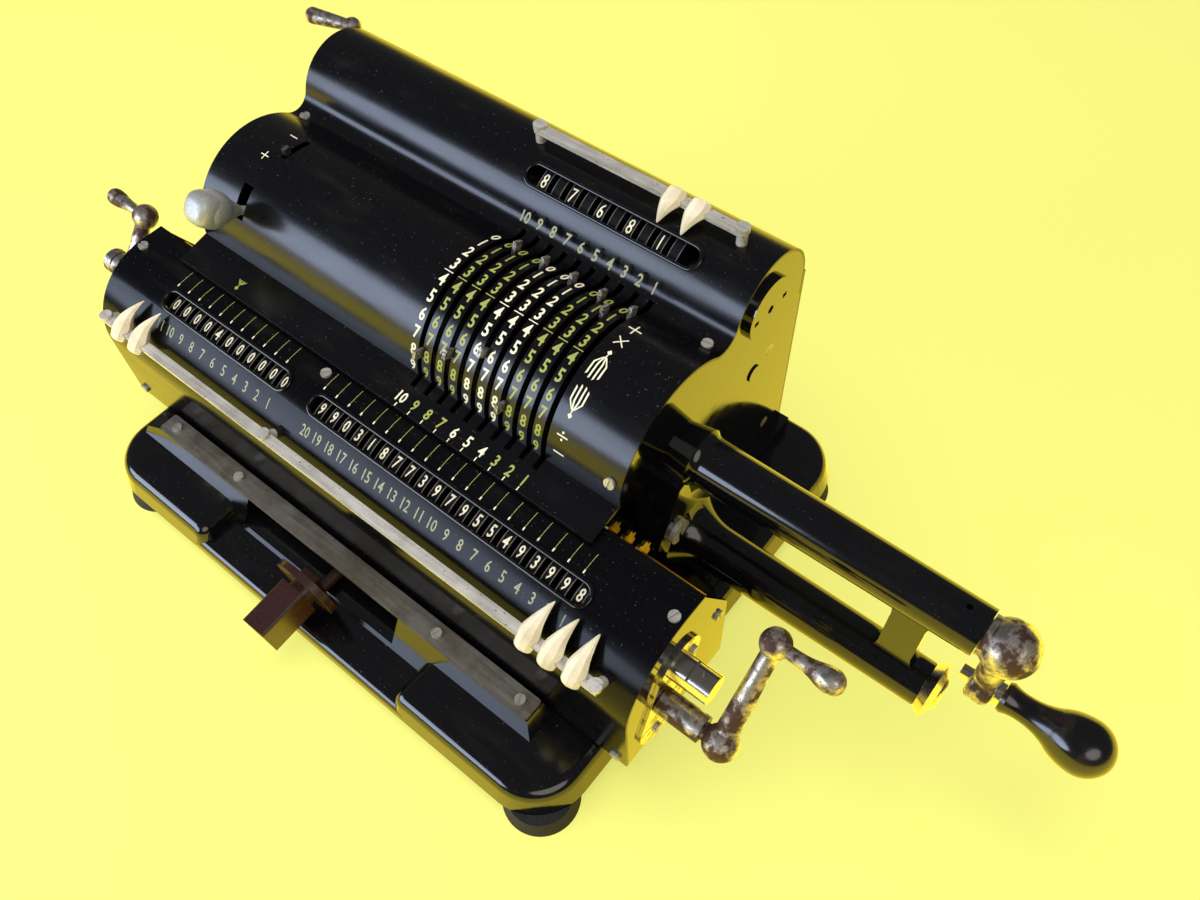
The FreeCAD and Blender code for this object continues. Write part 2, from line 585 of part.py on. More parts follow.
def make_base():
    left, right = X0 + S.base_left, X0 + S.base_right
    front, rear = Y0 + S.base_front, Y0 + S.base_rear
    rail_rear = Y0 + S.rail_rear
    rail_front = rail_rear - S.rail_width
    dip_left, dip_right = X0 + S.dip_left, X0 + S.dip_right
    r, d = S.base_corner, S.rim_rounding + 1
    low = S.rim_top - S.dip_depth
    outline = [(dip_left - d, front), (dip_left, front + d, d), (dip_left, rail_front),
               (dip_right, rail_front),
               (dip_right, front + d), (dip_right + d, front, d), (right - r, front), (right, front + r, r),
               (right, rear - r), (right - r, rear, r), (left + r, rear), (left, rear - r, r),
               (left, front + r), (left + r, front, r)]
    body = padded("Base", "XY", outline, S.base_bottom, S.rim_top - S.base_bottom)
    bind(body.Tip, TaperAngle=-S.wall_draft)
    doc.recompute()
    top_edges = []
    for number, edge in enumerate(body.Shape.Edges, start=1):
        box = edge.BoundBox
        if box.ZMin > S.rim_top.value - 0.01 and not (box.YMin > rail_front.value - 0.01
                                                      and box.YMax < rail_front.value + 0.01):
            top_edges.append(f"Edge{number}")
    pad = body.Tip
    rounding = body.newObject("PartDesign::Fillet", "Base_rounding")
    rounding.Base = (pad, top_edges)
    bind(rounding, Radius=S.rim_rounding)
    edge_r = S.dip_rounding
    lean = (low - edge_r - S.base_bottom) * sine(S.wall_draft)
    dip = padded("Low_rim", "YZ",
                 [(front, S.base_bottom), (rail_front + 2, S.base_bottom), (rail_front + 2, low),
                  (front + lean + edge_r, low), (front + lean, low - edge_r, edge_r)],
                 dip_left - d - 1, dip_right - dip_left + 2 * (d + 1))

    seat_left, seat_right = body_left - 1, body_right + S.seat_margin
    seat_rear = lobe_y + S.lobe_radius + S.seat_margin
    seat = block("Seat", (seat_left, seat_right), (Y0 + S.seat_front, seat_rear),
                 (S.base_bottom + 4, S.seat_height))
    foot = low - 1
    rail_left, rail_right = X0 + S.rail_left, X0 + S.rail_right
    rail_start, rail_stop = left + S.rim_rounding, rail_right + S.rail_foot
    profile = padded("Rail_profile", "YZ",
                     [(rail_rear, foot), (rail_rear, S.rail_top), (rail_front, S.rail_top),
                      (rail_front - S.rail_foot, foot)], rail_start,
                     rail_stop - rail_start)
    ends = padded("Rail_ends", "XZ", [(rail_start, foot), (rail_stop, foot), (rail_right, S.rail_top),
                                      (rail_left, S.rail_top),
                                      (rail_start + S.rail_foot / 2, S.rail_top - S.shoulder_drop)],
                  -rail_rear, S.rail_width + S.rail_foot)
    rail = common("Rail", profile, ends)
    rod_y = Y0 + S.guide_rod_y
    posts = []
    for name, x in (("Post_left", X0 + S.guide_rod_left), ("Post_right", X0 + S.guide_rod_right)):
        posts.append(block(name, (x - 4, x + 4), (rod_y - 8, rod_y + 8),
                           (S.rim_top - 4, S.guide_rod_height + 8)))
    bores = rod("Post_bores", S.guide_rod_radius, S.guide_rod_right - S.guide_rod_left + 2 * 5,
                X0 + S.guide_rod_left - 5, rod_y, S.guide_rod_height)
    solid = join("Base_solid", [body, dip, seat, rail] + posts)

    room_left = X0 + S.shift_x - S.travel_left - 10
    room_right = X0 + S.shift_x + S.travel_right + 10
    knob_way = block("Knob_way", (room_left - 4, room_right + 4),
                     (rail_front - S.rail_foot - 1, rail_rear + 1),
                     (S.stem_height - S.stem_radius - 2, S.rail_top + 1))
    groove = block("Groove", (room_left, room_right), (rail_rear, rail_rear + 18),
                   (S.base_bottom + 4.5, S.rim_top + 1))
    hollow = block("Hollow", (left + S.base_wall * 6, right - S.base_wall * 6),
                   (Y0 + S.seat_front + S.base_wall, rear - S.base_wall * 2),
                   (S.base_bottom - 1, S.seat_height - S.base_wall))
    side_hollow = block("Side_hollow", (left + S.base_wall, right - S.base_wall),
                        (Y0 + S.foot_front + S.foot_radius + S.base_wall * 5,
                         Y0 + S.foot_rear - S.foot_radius - 6),
                        (S.base_bottom - 1, S.rim_top - S.base_wall))
    return node("base_casting", cut("Base_casting", solid, [bores, knob_way, groove, hollow, side_hollow]))


def make_feet():
    feet = []
    for name, x, y in (("Foot_one", S.foot_left, S.foot_front), ("Foot_two", S.foot_right, S.foot_front),
                       ("Foot_three", S.foot_left, S.foot_rear), ("Foot_four", S.foot_right, S.foot_rear)):
        feet.append(cone(name, S.foot_radius, S.foot_radius - 2.5, S.base_bottom, X0 + x, Y0 + y, 0, "Z"))
    return node("rubber_feet", gather("Rubber_feet", feet))


def make_strip():
    rear = Y0 + S.rail_rear
    body = padded("Strip", "XY", rounded_rectangle(X0 + S.rail_left + 0.5, X0 + S.rail_right - 0.5,
                                                   rear - S.rail_width, rear, as_size(1.5)),
                  S.rail_top, S.strip_thickness)
    return node("front_guide_strip", body)


# ---------------------------------------------------------------- body shells and plates

def make_side_plate(label, start):
    gap = 0.05
    fold, first, second, back = cover_section(S.cover_thickness + gap)
    front = Y0 + S.plate_front
    rear = lobe_y + S.lobe_radius
    points = [(rear, S.seat_height), (rear, skirt_bottom - gap), (back[0], skirt_bottom - gap), back,
              (*second, S.lobe_radius - S.cover_thickness - gap),
              (*first, -(S.valley_radius + S.cover_thickness + gap)),
              (fold[0], fold[1] - 0.6, S.cover_radius - S.cover_thickness - gap),
              (front, fold[1] - 8), (front, S.seat_height)]
    body = padded(label.title(), "YZ", points, start, S.plate_thickness)
    holes = [rod(label.title() + "_shaft_bore", S.shaft_radius + 3.4, 20, start - 5, drum_y, drum_z),
             rod(label.title() + "_check_bore", S.check_shaft_radius + S.running_gap, 20, start - 5, check_y,
                 check_z)]
    for number, (y, z) in enumerate(tie_rods):
        holes.append(rod(f"{label.title()}_tie_bore_{number}", 3, 20, start - 5, y, z))
    return node(label, cut(label.title() + "_bored", body, holes))


tie_rods = [(Y0 + 8, S.seat_height + 14), (lobe_y + 11.7, S.seat_height + 14), (lobe_y + 5.7, lobe_z - 34)]


def make_frame_rods():
    rods = []
    for number, (y, z) in enumerate(tie_rods):
        inner = rod(f"Tie_rod_{number}", 5, body_right - body_left - 2 * S.plate_thickness,
                    body_left + S.plate_thickness, y, z)
        ends = rod(f"Tie_ends_{number}", 3, body_right - body_left, body_left, y, z)
        rods.append(join(f"Tie_{number}", [inner, ends]))
    rail = rod("Rear_rail", S.guide_rod_radius, S.guide_rod_right - S.guide_rod_left + 2 * 4,
               X0 + S.guide_rod_left - 4, Y0 + S.guide_rod_y, S.guide_rod_height)
    return node("frame_rods", gather("Frame_rods", rods + [rail]))


def make_rear_panel():
    rear = lobe_y + S.lobe_radius
    return node("rear_panel",
                block("Rear_panel", (body_left, body_right), (rear, rear + S.rear_panel_thickness),
                      (S.seat_height, rear_panel_top)))


def make_top_cover():
    fold, first, second, back = cover_section(as_size(0))
    fold_in, first_in, second_in, back_in = cover_section(S.cover_thickness)
    front = Y0 + S.apron_front
    outer_r, inner_r = S.cover_radius, S.cover_radius - S.cover_thickness
    points = [(front, apron_top), fold, (*first, -outer_r), (*second, S.valley_radius),
              (*back, -S.lobe_radius), (back[0], skirt_bottom), (back_in[0], skirt_bottom), back_in,
              (*second_in, S.lobe_radius - S.cover_thickness),
              (*first_in, -(S.valley_radius + S.cover_thickness)), (*fold_in, inner_r),
              (front, apron_top - S.cover_thickness)]
    body = padded("Cover", "YZ", points, body_left, body_right - body_left)
    slots = pocket(body, "Setting_slot", "YZ",
                   ring_sector(drum_y, drum_z, S.cover_radius - 4, S.lever_reach + 2, S.slot_top_angle,
                               S.slot_front_angle),
                   lever_planes[0], S.slot_width, both=True)
    repeat_along_x(body, "Setting_slots", slots, S.column_pitch, 10)
    pocket(body, "Sign_slot", "YZ",
           ring_sector(drum_y, drum_z, S.cover_radius - 4, S.cover_radius + 2,
                       S.sign_lever_angle - S.sign_lever_travel - 4, S.sign_lever_angle + 4),
           X0 + S.sign_lever_x, as_size(3.4), both=True)
    pocket(body, "Knob_slot", "YZ",
           ring_sector(drum_y, drum_z, S.cover_radius - 4, S.cover_radius + 2,
                       S.knob_angle - S.knob_travel - 6, S.knob_angle + 6),
           X0 + S.knob_x, as_size(6.4), both=True)
    window = (lever_planes[0] - 4, lever_planes[9] + 8)
    direction = S.check_window_angle
    y = lobe_y + S.lobe_radius * cosine(direction)
    z = lobe_z + S.lobe_radius * sine(direction)
    rim = window_rim("Check_rim", window, y, z, direction, lobe_y, lobe_z, S.lobe_radius)
    hole = stadium("Check_window", *window, S.window_width / 2, as_size(12), y, z, direction)
    return node("top_cover", cut("Top_cover", join("Cover_rimmed", [body, rim]), [hole]))


def window_rim(name, window, y, z, direction, centre_y, centre_z, radius):
    """A raised border that follows the curve of the sheet round a numeral window."""
    pad = stadium(name + "_pad", *window, S.window_width / 2 + S.rim_width, as_size(12), y, z, direction)
    length = window[1] - window[0] + S.window_width * 4
    start = window[0] - S.window_width * 2
    shell = cut(name + "_shell",
                rod(name + "_outside", radius + S.rim_height, length, start, centre_y, centre_z),
                [rod(name + "_inside", radius - S.cover_thickness / 2, length, start, centre_y, centre_z)])
    return common(name, pad, shell)


# ---------------------------------------------------------------- arm bracket, bearings

def arm_profile(flare, reach):
    """Section of a round arm that flares out where it leaves the bracket's foot."""
    foot = S.flange_thickness
    return [(0, 0), (0, S.arm_root_radius), (foot, S.arm_root_radius + flare),
            (foot + flare * 2.2, S.arm_root_radius, flare * 3), (reach, S.arm_tip_radius), (reach, 0)]


def make_bracket():
    """The bracket of the crank: a tube for the shaft, and below it an arm that carries the rest cone."""
    start = body_right
    face = body_right + S.flange_thickness
    tip = S.tube_end - S.body_right
    flange = padded("Flange", "YZ",
                    [(drum_y - 15, drum_z - 7), (drum_y - 28, rest_z + 20), (drum_y - 27, rest_z + 13, 4),
                     (rest_y - 6, rest_z - 15), (rest_y + 4, rest_z - 15, 8),
                     (rest_y + 17, rest_z - 2), (rest_y + 18, rest_z + 6, 8),
                     (drum_y + 12, drum_z)], start, S.flange_thickness)
    reach = S.rest_end - S.body_right
    tube = turned("Shaft_tube", arm_profile(S.tube_flare, tip), start, drum_y, drum_z)
    arm = turned("Lower_arm", arm_profile(S.root_flare, reach), start, rest_y, rest_z)
    lean = Rotation(Vector(1, 0, 0), S.rest_tilt.value)
    near, far = S.arm_root_radius * 0.6, S.rest_reach - S.arm_root_radius * 0.6
    bend = as_size(13)
    left, right = X0 + S.web_left, X0 + S.web_right
    web = padded("Web", "XZ",
                 [(left, -far, -bend), (right, -far), (right - 5, -far + 12, -bend), (right - 5, -near - 12),
                  (right, -near, -bend), (left, -near), (left + 5, -near - 12, -bend),
                  (left + 5, -far + 12)], -4, 8)
    place(web, 0, drum_y, drum_z, lean)
    wall = padded("Wall", "XZ",
                  [(start + 2, -far), (face + 13, -far), (face + 13, -near, -22), (start + 2, -near)], -4.5,
                  9)
    place(wall, 0, drum_y, drum_z, lean)
    solid = join("Bracket_solid", [flange, tube, arm, web, wall])
    bore = rod("Tube_bore", shaft_bore, tip + 2, start - 1, drum_y, drum_z)
    oil = rod("Oil_hole", as_size(1.2), as_size(30), X0 + S.tube_end - 9, drum_y, drum_z, "Z")
    pin_hole = rod("Rest_hole", S.spindle_radius + 0.4, as_size(12), X0 + S.rest_end - 8, rest_y, rest_z)
    return node("arm_bracket", cut("Arm_bracket", solid, [bore, oil, pin_hole]))


def make_rest_cone():
    hole = S.spindle_radius + 0.4
    rim, length = S.cone_rim, S.cone_length
    body = turned("Cone",
                  [(0, hole), (0, S.arm_tip_radius - 0.4), (rim, S.cone_radius),
                   (length * 0.8, S.cone_radius * 0.6),
                   (length, hole + 0.8, -4), (length, hole)], X0 + S.rest_end, rest_y, rest_z)
    return node("rest_cone", body)


def make_bearings():
    bush_r = S.shaft_radius + 3.37
    right = turned("Right_bush",
                   [(0, shaft_bore), (S.plate_thickness + 4, shaft_bore), (S.plate_thickness + 4, bush_r),
                    (4, bush_r), (4, bush_r + 3), (0, bush_r + 3)],
                   body_right - S.plate_thickness - 4, drum_y, drum_z)
    sleeve_end = X0 + S.sign_lever_x + 8
    left = turned("Left_bush",
                  [(-4, shaft_bore), (sleeve_end - body_left, shaft_bore),
                   (sleeve_end - body_left, S.sleeve_radius),
                   (S.plate_thickness, S.sleeve_radius), (S.plate_thickness, bush_r),
                   (0, bush_r),
                   (0, bush_r + 3), (-4, bush_r + 3)], body_left, drum_y, drum_z)
    cap = rod("Cap", S.cap_radius, S.cap_thickness, body_right, check_y, check_z)
    notches = [block("Cap_notch_one", (body_right + 1, body_right + S.cap_thickness + 1),
                     (check_y - 12, check_y - 9),
                     (check_z - 1.2, check_z + 1.2)),
               block("Cap_notch_two", (body_right + 1, body_right + S.cap_thickness + 1),
                     (check_y + 9, check_y + 12),
                     (check_z - 1.2, check_z + 1.2)),
               rod("Cap_centre", as_size(2), as_size(9), body_right + 1, check_y, check_z)]
    plug = rod("Plug", as_size(4.4), as_size(0.8), body_right, lobe_y - 6.3, lobe_z - 39)
    return node("shaft_bearings",
                gather("Shaft_bearings", [right, left, cut("Bearing_cap", cap, notches), plug]))


def make_bell():
    x, y = X0 - 150, Y0 + 64
    shell = cut("Bell_shell", ball("Bell_outside", as_size(20), x, y, S.seat_height + 14),
                [ball("Bell_inside", as_size(18), x, y, S.seat_height + 14),
                 block("Bell_lower", (x - 30, x + 30), (y - 30, y + 30),
                       (S.seat_height - 10, S.seat_height + 14))])
    post = rod("Bell_post", as_size(3), as_size(33.5), x, y, S.seat_height, "Z")
    return node("overflow_bell", join("Overflow_bell", [shell, post]))


def make_carry_hammers():
    """One small carry hammer for each carriage place, on a rod across the frame."""
    y, z = Y0 + 20, as_size(58)
    shaft = rod("Hammer_rod", as_size(3), body_right - body_left - 2 * S.plate_thickness,
                body_left + S.plate_thickness, y, z)
    hammers = []
    for number in range(12):
        x = X0 + S.first_lever_x + S.column_pitch * (number - 1)
        hammers.append(block(f"Hammer_{number}", (x - 1.2, x + 1.2), (y - 14, y + 9), (z - 3.5, z + 3.5)))
    return node("tens_carry_hammers", join("Tens_carry_hammers", [shaft] + hammers))


# ---------------------------------------------------------------- drum and crank

def make_main_shaft():
    start = body_left - 6
    end = X0 + S.crank_x - S.crank_ball * 0.7
    return node("main_shaft", rod("Main_shaft", S.shaft_radius, end - start, start, drum_y, drum_z))


def make_pinwheels():
    """Setting discs with their pins beside each lever, and plain carry discs further left."""
    discs = []
    side = S.lever_width / 2 + 0.4
    for number, plane in enumerate(lever_planes):
        start = plane - side - S.pinwheel_width
        parts = [rod(f"Disc_{number}", S.pinwheel_radius, S.pinwheel_width, start, drum_y, drum_z)]
        shown = SETTINGS[number]
        for pin in range(round(shown)):
            angle = S.lever_zero_angle + 180 + (S.digit_step * pin)
            parts.append(rod(f"Pin_{number}_{pin}", S.pin_radius, S.pin_reach - 30,
                             start + S.pinwheel_width / 2,
                             drum_y + 30 * cosine(angle), drum_z + 30 * sine(angle),
                             Rotation(Vector(0, 0, 1), facing(angle))))
        solid = join(f"Pinned_{number}", parts) if shown else parts[0]
        discs.append(cut(f"Pinwheel_{number}", solid,
                         [rod(f"Disc_bore_{number}", S.shaft_radius, as_size(9), start - 2, drum_y, drum_z)]))
    for number in range(10):
        start = lever_planes[0] - S.column_pitch * (number + 1) - side - S.pinwheel_width
        discs.append(cut(f"Carry_disc_{number}",
                         rod(f"Carry_{number}", S.pinwheel_radius - 2, S.pinwheel_width, start, drum_y,
                             drum_z),
                         [rod(f"Carry_bore_{number}", S.shaft_radius, as_size(9), start - 2, drum_y,
                              drum_z)]))
    return node("pinwheels", gather("Pinwheels", discs))


def make_setting_lever(number):
    """A setting ring that runs on the shaft, with an arm and a finger tab at its set digit."""
    plane = lever_planes[number]
    start = plane - S.lever_width / 2
    angle = S.lever_zero_angle + S.digit_step * SETTINGS[number]
    ring = rod(f"Ring_{number}", S.lever_ring_radius, S.lever_width, start, drum_y, drum_z)
    half = Size(math.degrees(S.lever_tab.value / 2 / S.lever_reach.value))
    arm = padded(f"Arm_{number}", "YZ",
                 ring_sector(drum_y, drum_z, S.lever_ring_radius - 3, S.lever_reach, angle - half,
                             angle + half),
                 start, S.lever_width)
    solid = join(f"Lever_solid_{number}", [ring, arm])
    bore = rod(f"Lever_bore_{number}", shaft_bore, as_size(9), plane - 4, drum_y, drum_z)
    return node(f"setting_lever_{10 - number:02d}", cut(f"Setting_lever_{number}", solid, [bore]))


def crank_offset(distance):
    """Where a point on the crank at a distance from the hub lies at rest."""
    return drum_y + distance * sine(S.crank_tilt), drum_z - distance * cosine(S.crank_tilt)


def make_crank():
    x = X0 + S.crank_x
    eye_y, eye_z = crank_offset(S.crank_length)
    hub = ball("Crank_ball", S.crank_ball, x, drum_y, drum_z)
    collar = rod("Crank_collar", S.crank_ball * 0.76, S.crank_x - S.tube_end - 0.4, X0 + S.tube_end + 0.4,
                 drum_y, drum_z)
    down = Vector(0, math.sin(math.radians(S.crank_tilt.value)), -math.cos(math.radians(S.crank_tilt.value)))
    length = S.crank_length
    bar = turned("Crank_bar",
                 [(0, 0), (0, 7.6), (length * 0.32, 6.2, 34), (length, S.eye_width / 2 - 0.3), (length, 0)],
                 x, drum_y, drum_z, Rotation(Vector(1, 0, 0), down))
    half, r = S.eye_width / 2, S.eye_radius
    eye = turned("Crank_eye",
                 [(-half, 0), (-half, r - 2.6), (-half + 2.2, r, -3), (half - 2.2, r), (half, r - 2.6, -3),
                  (half, 0)],
                 x, eye_y, eye_z)
    socket = rod("Crank_socket", S.shaft_radius, as_size(30), x - S.crank_ball * 0.7 - 30, drum_y, drum_z)
    eye_bore = rod("Eye_bore", S.spindle_radius + S.running_gap, as_size(30), x - 15, eye_y, eye_z)
    return node("crank_arm",
                cut("Crank_arm", join("Crank_solid", [hub, collar, bar, eye]), [socket, eye_bore]))


def make_spindle():
    eye_y, eye_z = crank_offset(S.crank_length)
    tip = X0 + S.rest_end + S.cone_length + S.pin_gap
    face = X0 + S.crank_x + S.eye_width / 2
    handle = X0 + S.handle_start
    bulb = S.handle_bulb - S.handle_start
    pin = rod("Locking_pin", S.spindle_radius, handle + bulb * 0.72 - tip, tip, eye_y, eye_z)
    collar = rod("Spindle_collar", as_size(5.4), handle - 0.3 - (face + 0.4), face + 0.4, eye_y, eye_z)
    return node("handle_spindle", join("Handle_spindle", [pin, collar]))


def crown_radius(run, rise):
    """The radius of an arc that starts level and falls by a rise over a run."""
    return (run * run + rise * rise) / (rise * 2)


def make_grip():
    eye_y, eye_z = crank_offset(S.crank_length)
    length = S.handle_end - S.handle_start
    bulb = S.handle_bulb - S.handle_start
    r, waist = S.bulb_radius, S.waist_radius
    bore = S.spindle_radius + S.running_gap
    shoulder = waist + (r - waist) * 0.44
    points = [(0, bore), (0, S.neck_radius - 0.8), (bulb * 0.05, S.neck_radius),
              (bulb * 0.25, waist, bulb * 0.5),
              (bulb * 0.62, shoulder, bulb * 0.8), (bulb, r, -crown_radius(bulb * 0.38, r - shoulder)),
              (length, 0, -crown_radius(length - bulb, r)), (bulb * 0.75, 0), (bulb * 0.75, bore)]
    return node("handle_grip", turned("Grip", points, X0 + S.handle_start, eye_y, eye_z))


# ---------------------------------------------------------------- check register

def make_check_dial(number):
    start = lever_planes[number] - S.check_dial_width / 2
    drum = rod(f"Check_drum_{number}", S.check_dial_radius, S.check_dial_width, start, check_y, check_z)
    bore = rod(f"Check_bore_{number}", S.check_shaft_radius + S.running_gap, as_size(12), start - 3, check_y,
               check_z)
    return node(f"check_dial_{10 - number:02d}", cut(f"Check_dial_{number}", drum, [bore]))


def make_check_clear():
    shaft = rod("Check_shaft", S.check_shaft_radius, body_right - body_left + 12, body_left - 12, check_y,
                check_z)
    hub = rod("Check_hub", as_size(7), as_size(9), body_left - 12, check_y, check_z)
    x = body_left - 7.5
    knuckle = (x, check_y + S.check_knuckle_back, check_z + S.check_knuckle_rise)
    tip = (x - 22, knuckle[1] - 7, knuckle[2] + 1.5)
    arm = tapered("Check_arm", (x, check_y, check_z), knuckle, 4.4, 3.4)
    handle = tapered("Check_handle", knuckle, tip, 2.8, 4.2)
    parts = [shaft, hub, arm, ball("Check_knuckle", as_size(4.6), *knuckle), handle,
             ball("Check_tip", as_size(4.2), *tip)]
    return node("check_clear_lever", join("Check_clear_lever", parts))


def tapered(name, start, end, start_radius, end_radius):
    """A tapered bar between two points."""
    start, end = [[as_size(value) for value in point] for point in (start, end)]
    run = [b - a for a, b in zip(start, end)]
    length = root(run[0] * run[0] + run[1] * run[1] + run[2] * run[2])
    heading = Vector(*[value.value for value in run])
    return cone(name, as_size(start_radius), as_size(end_radius), length, *start,
                Rotation(Vector(0, 0, 1), heading))


def make_sign_lever():
    x = X0 + S.sign_lever_x
    ring = rod("Sign_ring", S.sleeve_radius + 4, as_size(3), x - 1.5, drum_y, drum_z)
    half = 2.2
    arm = padded("Sign_arm", "YZ", ring_sector(drum_y, drum_z, S.sleeve_radius + 2, S.cover_radius + 4,
                                               S.sign_lever_angle - half, S.sign_lever_angle + half), x - 1.2,
                 as_size(2.4))
    bore = rod("Sign_bore", S.sleeve_radius + S.running_gap, as_size(12), x - 6, drum_y, drum_z)
    return node("counter_sign_lever", cut("Counter_sign_lever", join("Sign_solid", [ring, arm]), [bore]))


def make_clear_knob():
    x = X0 + S.knob_x
    ring = rod("Knob_ring", S.sleeve_radius + 4, as_size(2.6), x - 1.3, drum_y, drum_z)
    reach = S.knob_reach
    arm = rod("Knob_neck", as_size(2.2), S.cover_radius - S.sleeve_radius, x,
              drum_y + (S.sleeve_radius + 2) * cosine(S.knob_angle),
              drum_z + (S.sleeve_radius + 2) * sine(S.knob_angle),
              Rotation(Vector(0, 0, 1), facing(S.knob_angle)))
    start = S.cover_radius + 0.8
    length = reach - start
    r = S.knob_radius
    shoulder = r * 0.62
    points = [(0, 0), (0, 2.6), (length * 0.45, shoulder),
              (length, r, -crown_radius(length * 0.55, r - shoulder)),
              (length + r * 0.9, 0, -crown_radius(r * 0.9, r))]
    knob = turned("Knob_bulb", points, x, drum_y + start * cosine(S.knob_angle),
                  drum_z + start * sine(S.knob_angle),
                  Rotation(Vector(1, 0, 0), facing(S.knob_angle)))
    bore = rod("Knob_bore", S.sleeve_radius + S.running_gap, as_size(12), x - 6, drum_y, drum_z)
    return node("setting_clear_knob",
                cut("Setting_clear_knob", join("Knob_solid", [ring, arm, knob]), [bore]))


# ---------------------------------------------------------------- carriage

def nose_points(inset):
    """The carriage cover's outline from its rear edge to its lower front edge, below its outside."""
    r = S.nose_radius - inset
    y, z = Y0 + S.nose_y, S.nose_height
    return [(Y0 + S.carriage_rear, z + r), (y, z + r), (y - r, z, r), (y - r, S.carriage_bottom)]


def on_nose(angle, stand):
    """The Y and Z of a place a given height above the carriage cover's curve."""
    reach = S.nose_radius + stand
    return nose_y + reach * cosine(angle), nose_z + reach * sine(angle)


def make_carriage_cover():
    outer = nose_points(as_size(0))
    inner = nose_points(S.cover_thickness)
    r = S.nose_radius - S.cover_thickness
    points = outer[1:] + [inner[3], inner[2][:2], (*inner[1], -r), inner[0], outer[0]]
    body = padded("Carriage_sheet", "YZ", points, carriage_left, carriage_right - carriage_left)
    middle = on_nose(S.window_angle, as_size(0))
    rims = []
    holes = []
    for name, first, count in (("Product", S.product_first_x, PRODUCT_WHEELS),
                               ("Counter", S.counter_first_x, COUNTER_WHEELS)):
        window = (X0 + first, X0 + first + S.column_pitch * (count - 1))
        rims.append(window_rim(name + "_rim", window, *middle, S.window_angle, Y0 + S.nose_y, S.nose_height,
                               S.nose_radius))
        holes.append(stadium(name + "_window", *window, S.window_width / 2, as_size(12), *middle,
                             S.window_angle))
    return node("carriage_cover", cut("Carriage_cover", join("Carriage_rimmed", [body] + rims), holes))


def nose_plate(name, start, thickness, bottom, lower_rear, shoulder):
    """A plate across the carriage that fills its cover, down to a given height."""
    gap = 0.05
    inner = nose_points(S.cover_thickness + gap)
    r = S.nose_radius - S.cover_thickness - gap
    points = [inner[1][:2], (*inner[2][:2], r), (inner[2][0], bottom), (lower_rear, bottom),
              (lower_rear, shoulder), inner[0]]
    return padded(name, "YZ", points, start, thickness)


def end_plate(name, start):
    return nose_plate(name, start, S.end_plate_thickness, S.carriage_bottom, Y0 + S.end_plate_rear,
                      S.end_plate_shoulder)


def make_carriage_frame():
    t = S.end_plate_thickness
    wall = Y0 + S.nose_y - S.nose_radius + S.cover_thickness + 0.05
    dividers = [X0 + S.product_first_x - 10 + 3.2,
                X0 + S.counter_first_x + S.column_pitch * COUNTER_WHEELS - 2.6]
    parts = [end_plate("End_left", carriage_left), end_plate("End_right", carriage_right - t)]
    for number, x in enumerate(dividers):
        low = S.guide_rod_height + S.guide_rod_radius + 1
        parts.append(nose_plate(f"Divider_{number}", x, as_size(2), low, Y0 + S.carriage_rear,
                                S.nose_height + 20))
        parts.append(block(f"Divider_foot_{number}", (x, x + 2), (wall, wall + 16), (as_size(41), low + 1)))
    parts.append(block("Cross_bar", (carriage_left, carriage_right), (wall, wall + 16),
                       (as_size(40), as_size(44))))
    rod_y = Y0 + S.guide_rod_y
    top = S.guide_rod_height + S.guide_rod_radius + 0.3
    for number, x in enumerate((X0 - 98, X0 + 18)):
        parts.append(block(f"Saddle_{number}", (x - 8, x + 8), (wall + 10, rod_y + 7), (top, top + 4)))
        parts.append(block(f"Saddle_leg_{number}", (x - 8, x + 8), (wall + 10, wall + 16),
                           (as_size(42), top + 2)))
    x = X0 + S.shift_x
    parts.append(block("Shift_lug", (x - 8, x + 8), (wall, wall + 7), (S.stem_height - 6, as_size(42))))
    solid = join("Frame_solid", parts)
    span = S.carriage_right - S.carriage_left
    bores = [rod("Dial_bore", S.dial_shaft_radius + S.running_gap, span + 4, carriage_left - 2, dial_y,
                 dial_z),
             rod("Clear_bore_right", as_size(4.05), as_size(12), carriage_right - 8, clear_y, clear_z),
             rod("Stem_bore", S.stem_radius + S.running_gap, as_size(20), x, wall - 6, S.stem_height, "Y"),
             rod("Transfer_bore", as_size(3), span - 2 * t + 2, carriage_left + t - 1, *transfer_axis)]
    frame = cut("Frame_bored", solid, bores)
    plates = [register_plate("Plate_right", carriage_right),
              register_plate("Plate_left", carriage_left - S.register_plate_thickness)]
    return node("carriage_frame", gather("Carriage_frame", [frame] + plates))


def register_plate(name, start):
    """The oval plate that carries a numeral shaft and a clearing crank at a carriage end."""
    r = S.register_plate_radius
    upper, lower = (dial_y + 2, dial_z - 5), (clear_y, clear_z - 20)
    oval = join(name + "_oval", [rod(name + "_upper", r, S.register_plate_thickness, start, *upper),
                                 rod(name + "_lower", r, S.register_plate_thickness, start, *lower),
                                 padded(name + "_middle", "YZ",
                                        [(upper[0] + r * 0.954, upper[1] - r * 0.30),
                                         (upper[0] - r * 0.954, upper[1] + r * 0.30),
                                         (lower[0] - r * 0.954, lower[1] + r * 0.30),
                                         (lower[0] + r * 0.954, lower[1] - r * 0.30)],
                                        start, S.register_plate_thickness)])
    return cut(name, oval,
               [rod(name + "_dial_bore", S.collar_radius + 0.1, as_size(9), start - 4, dial_y, dial_z),
                rod(name + "_clear_bore", as_size(4.05), as_size(9), start - 4, clear_y,
                    clear_z)])


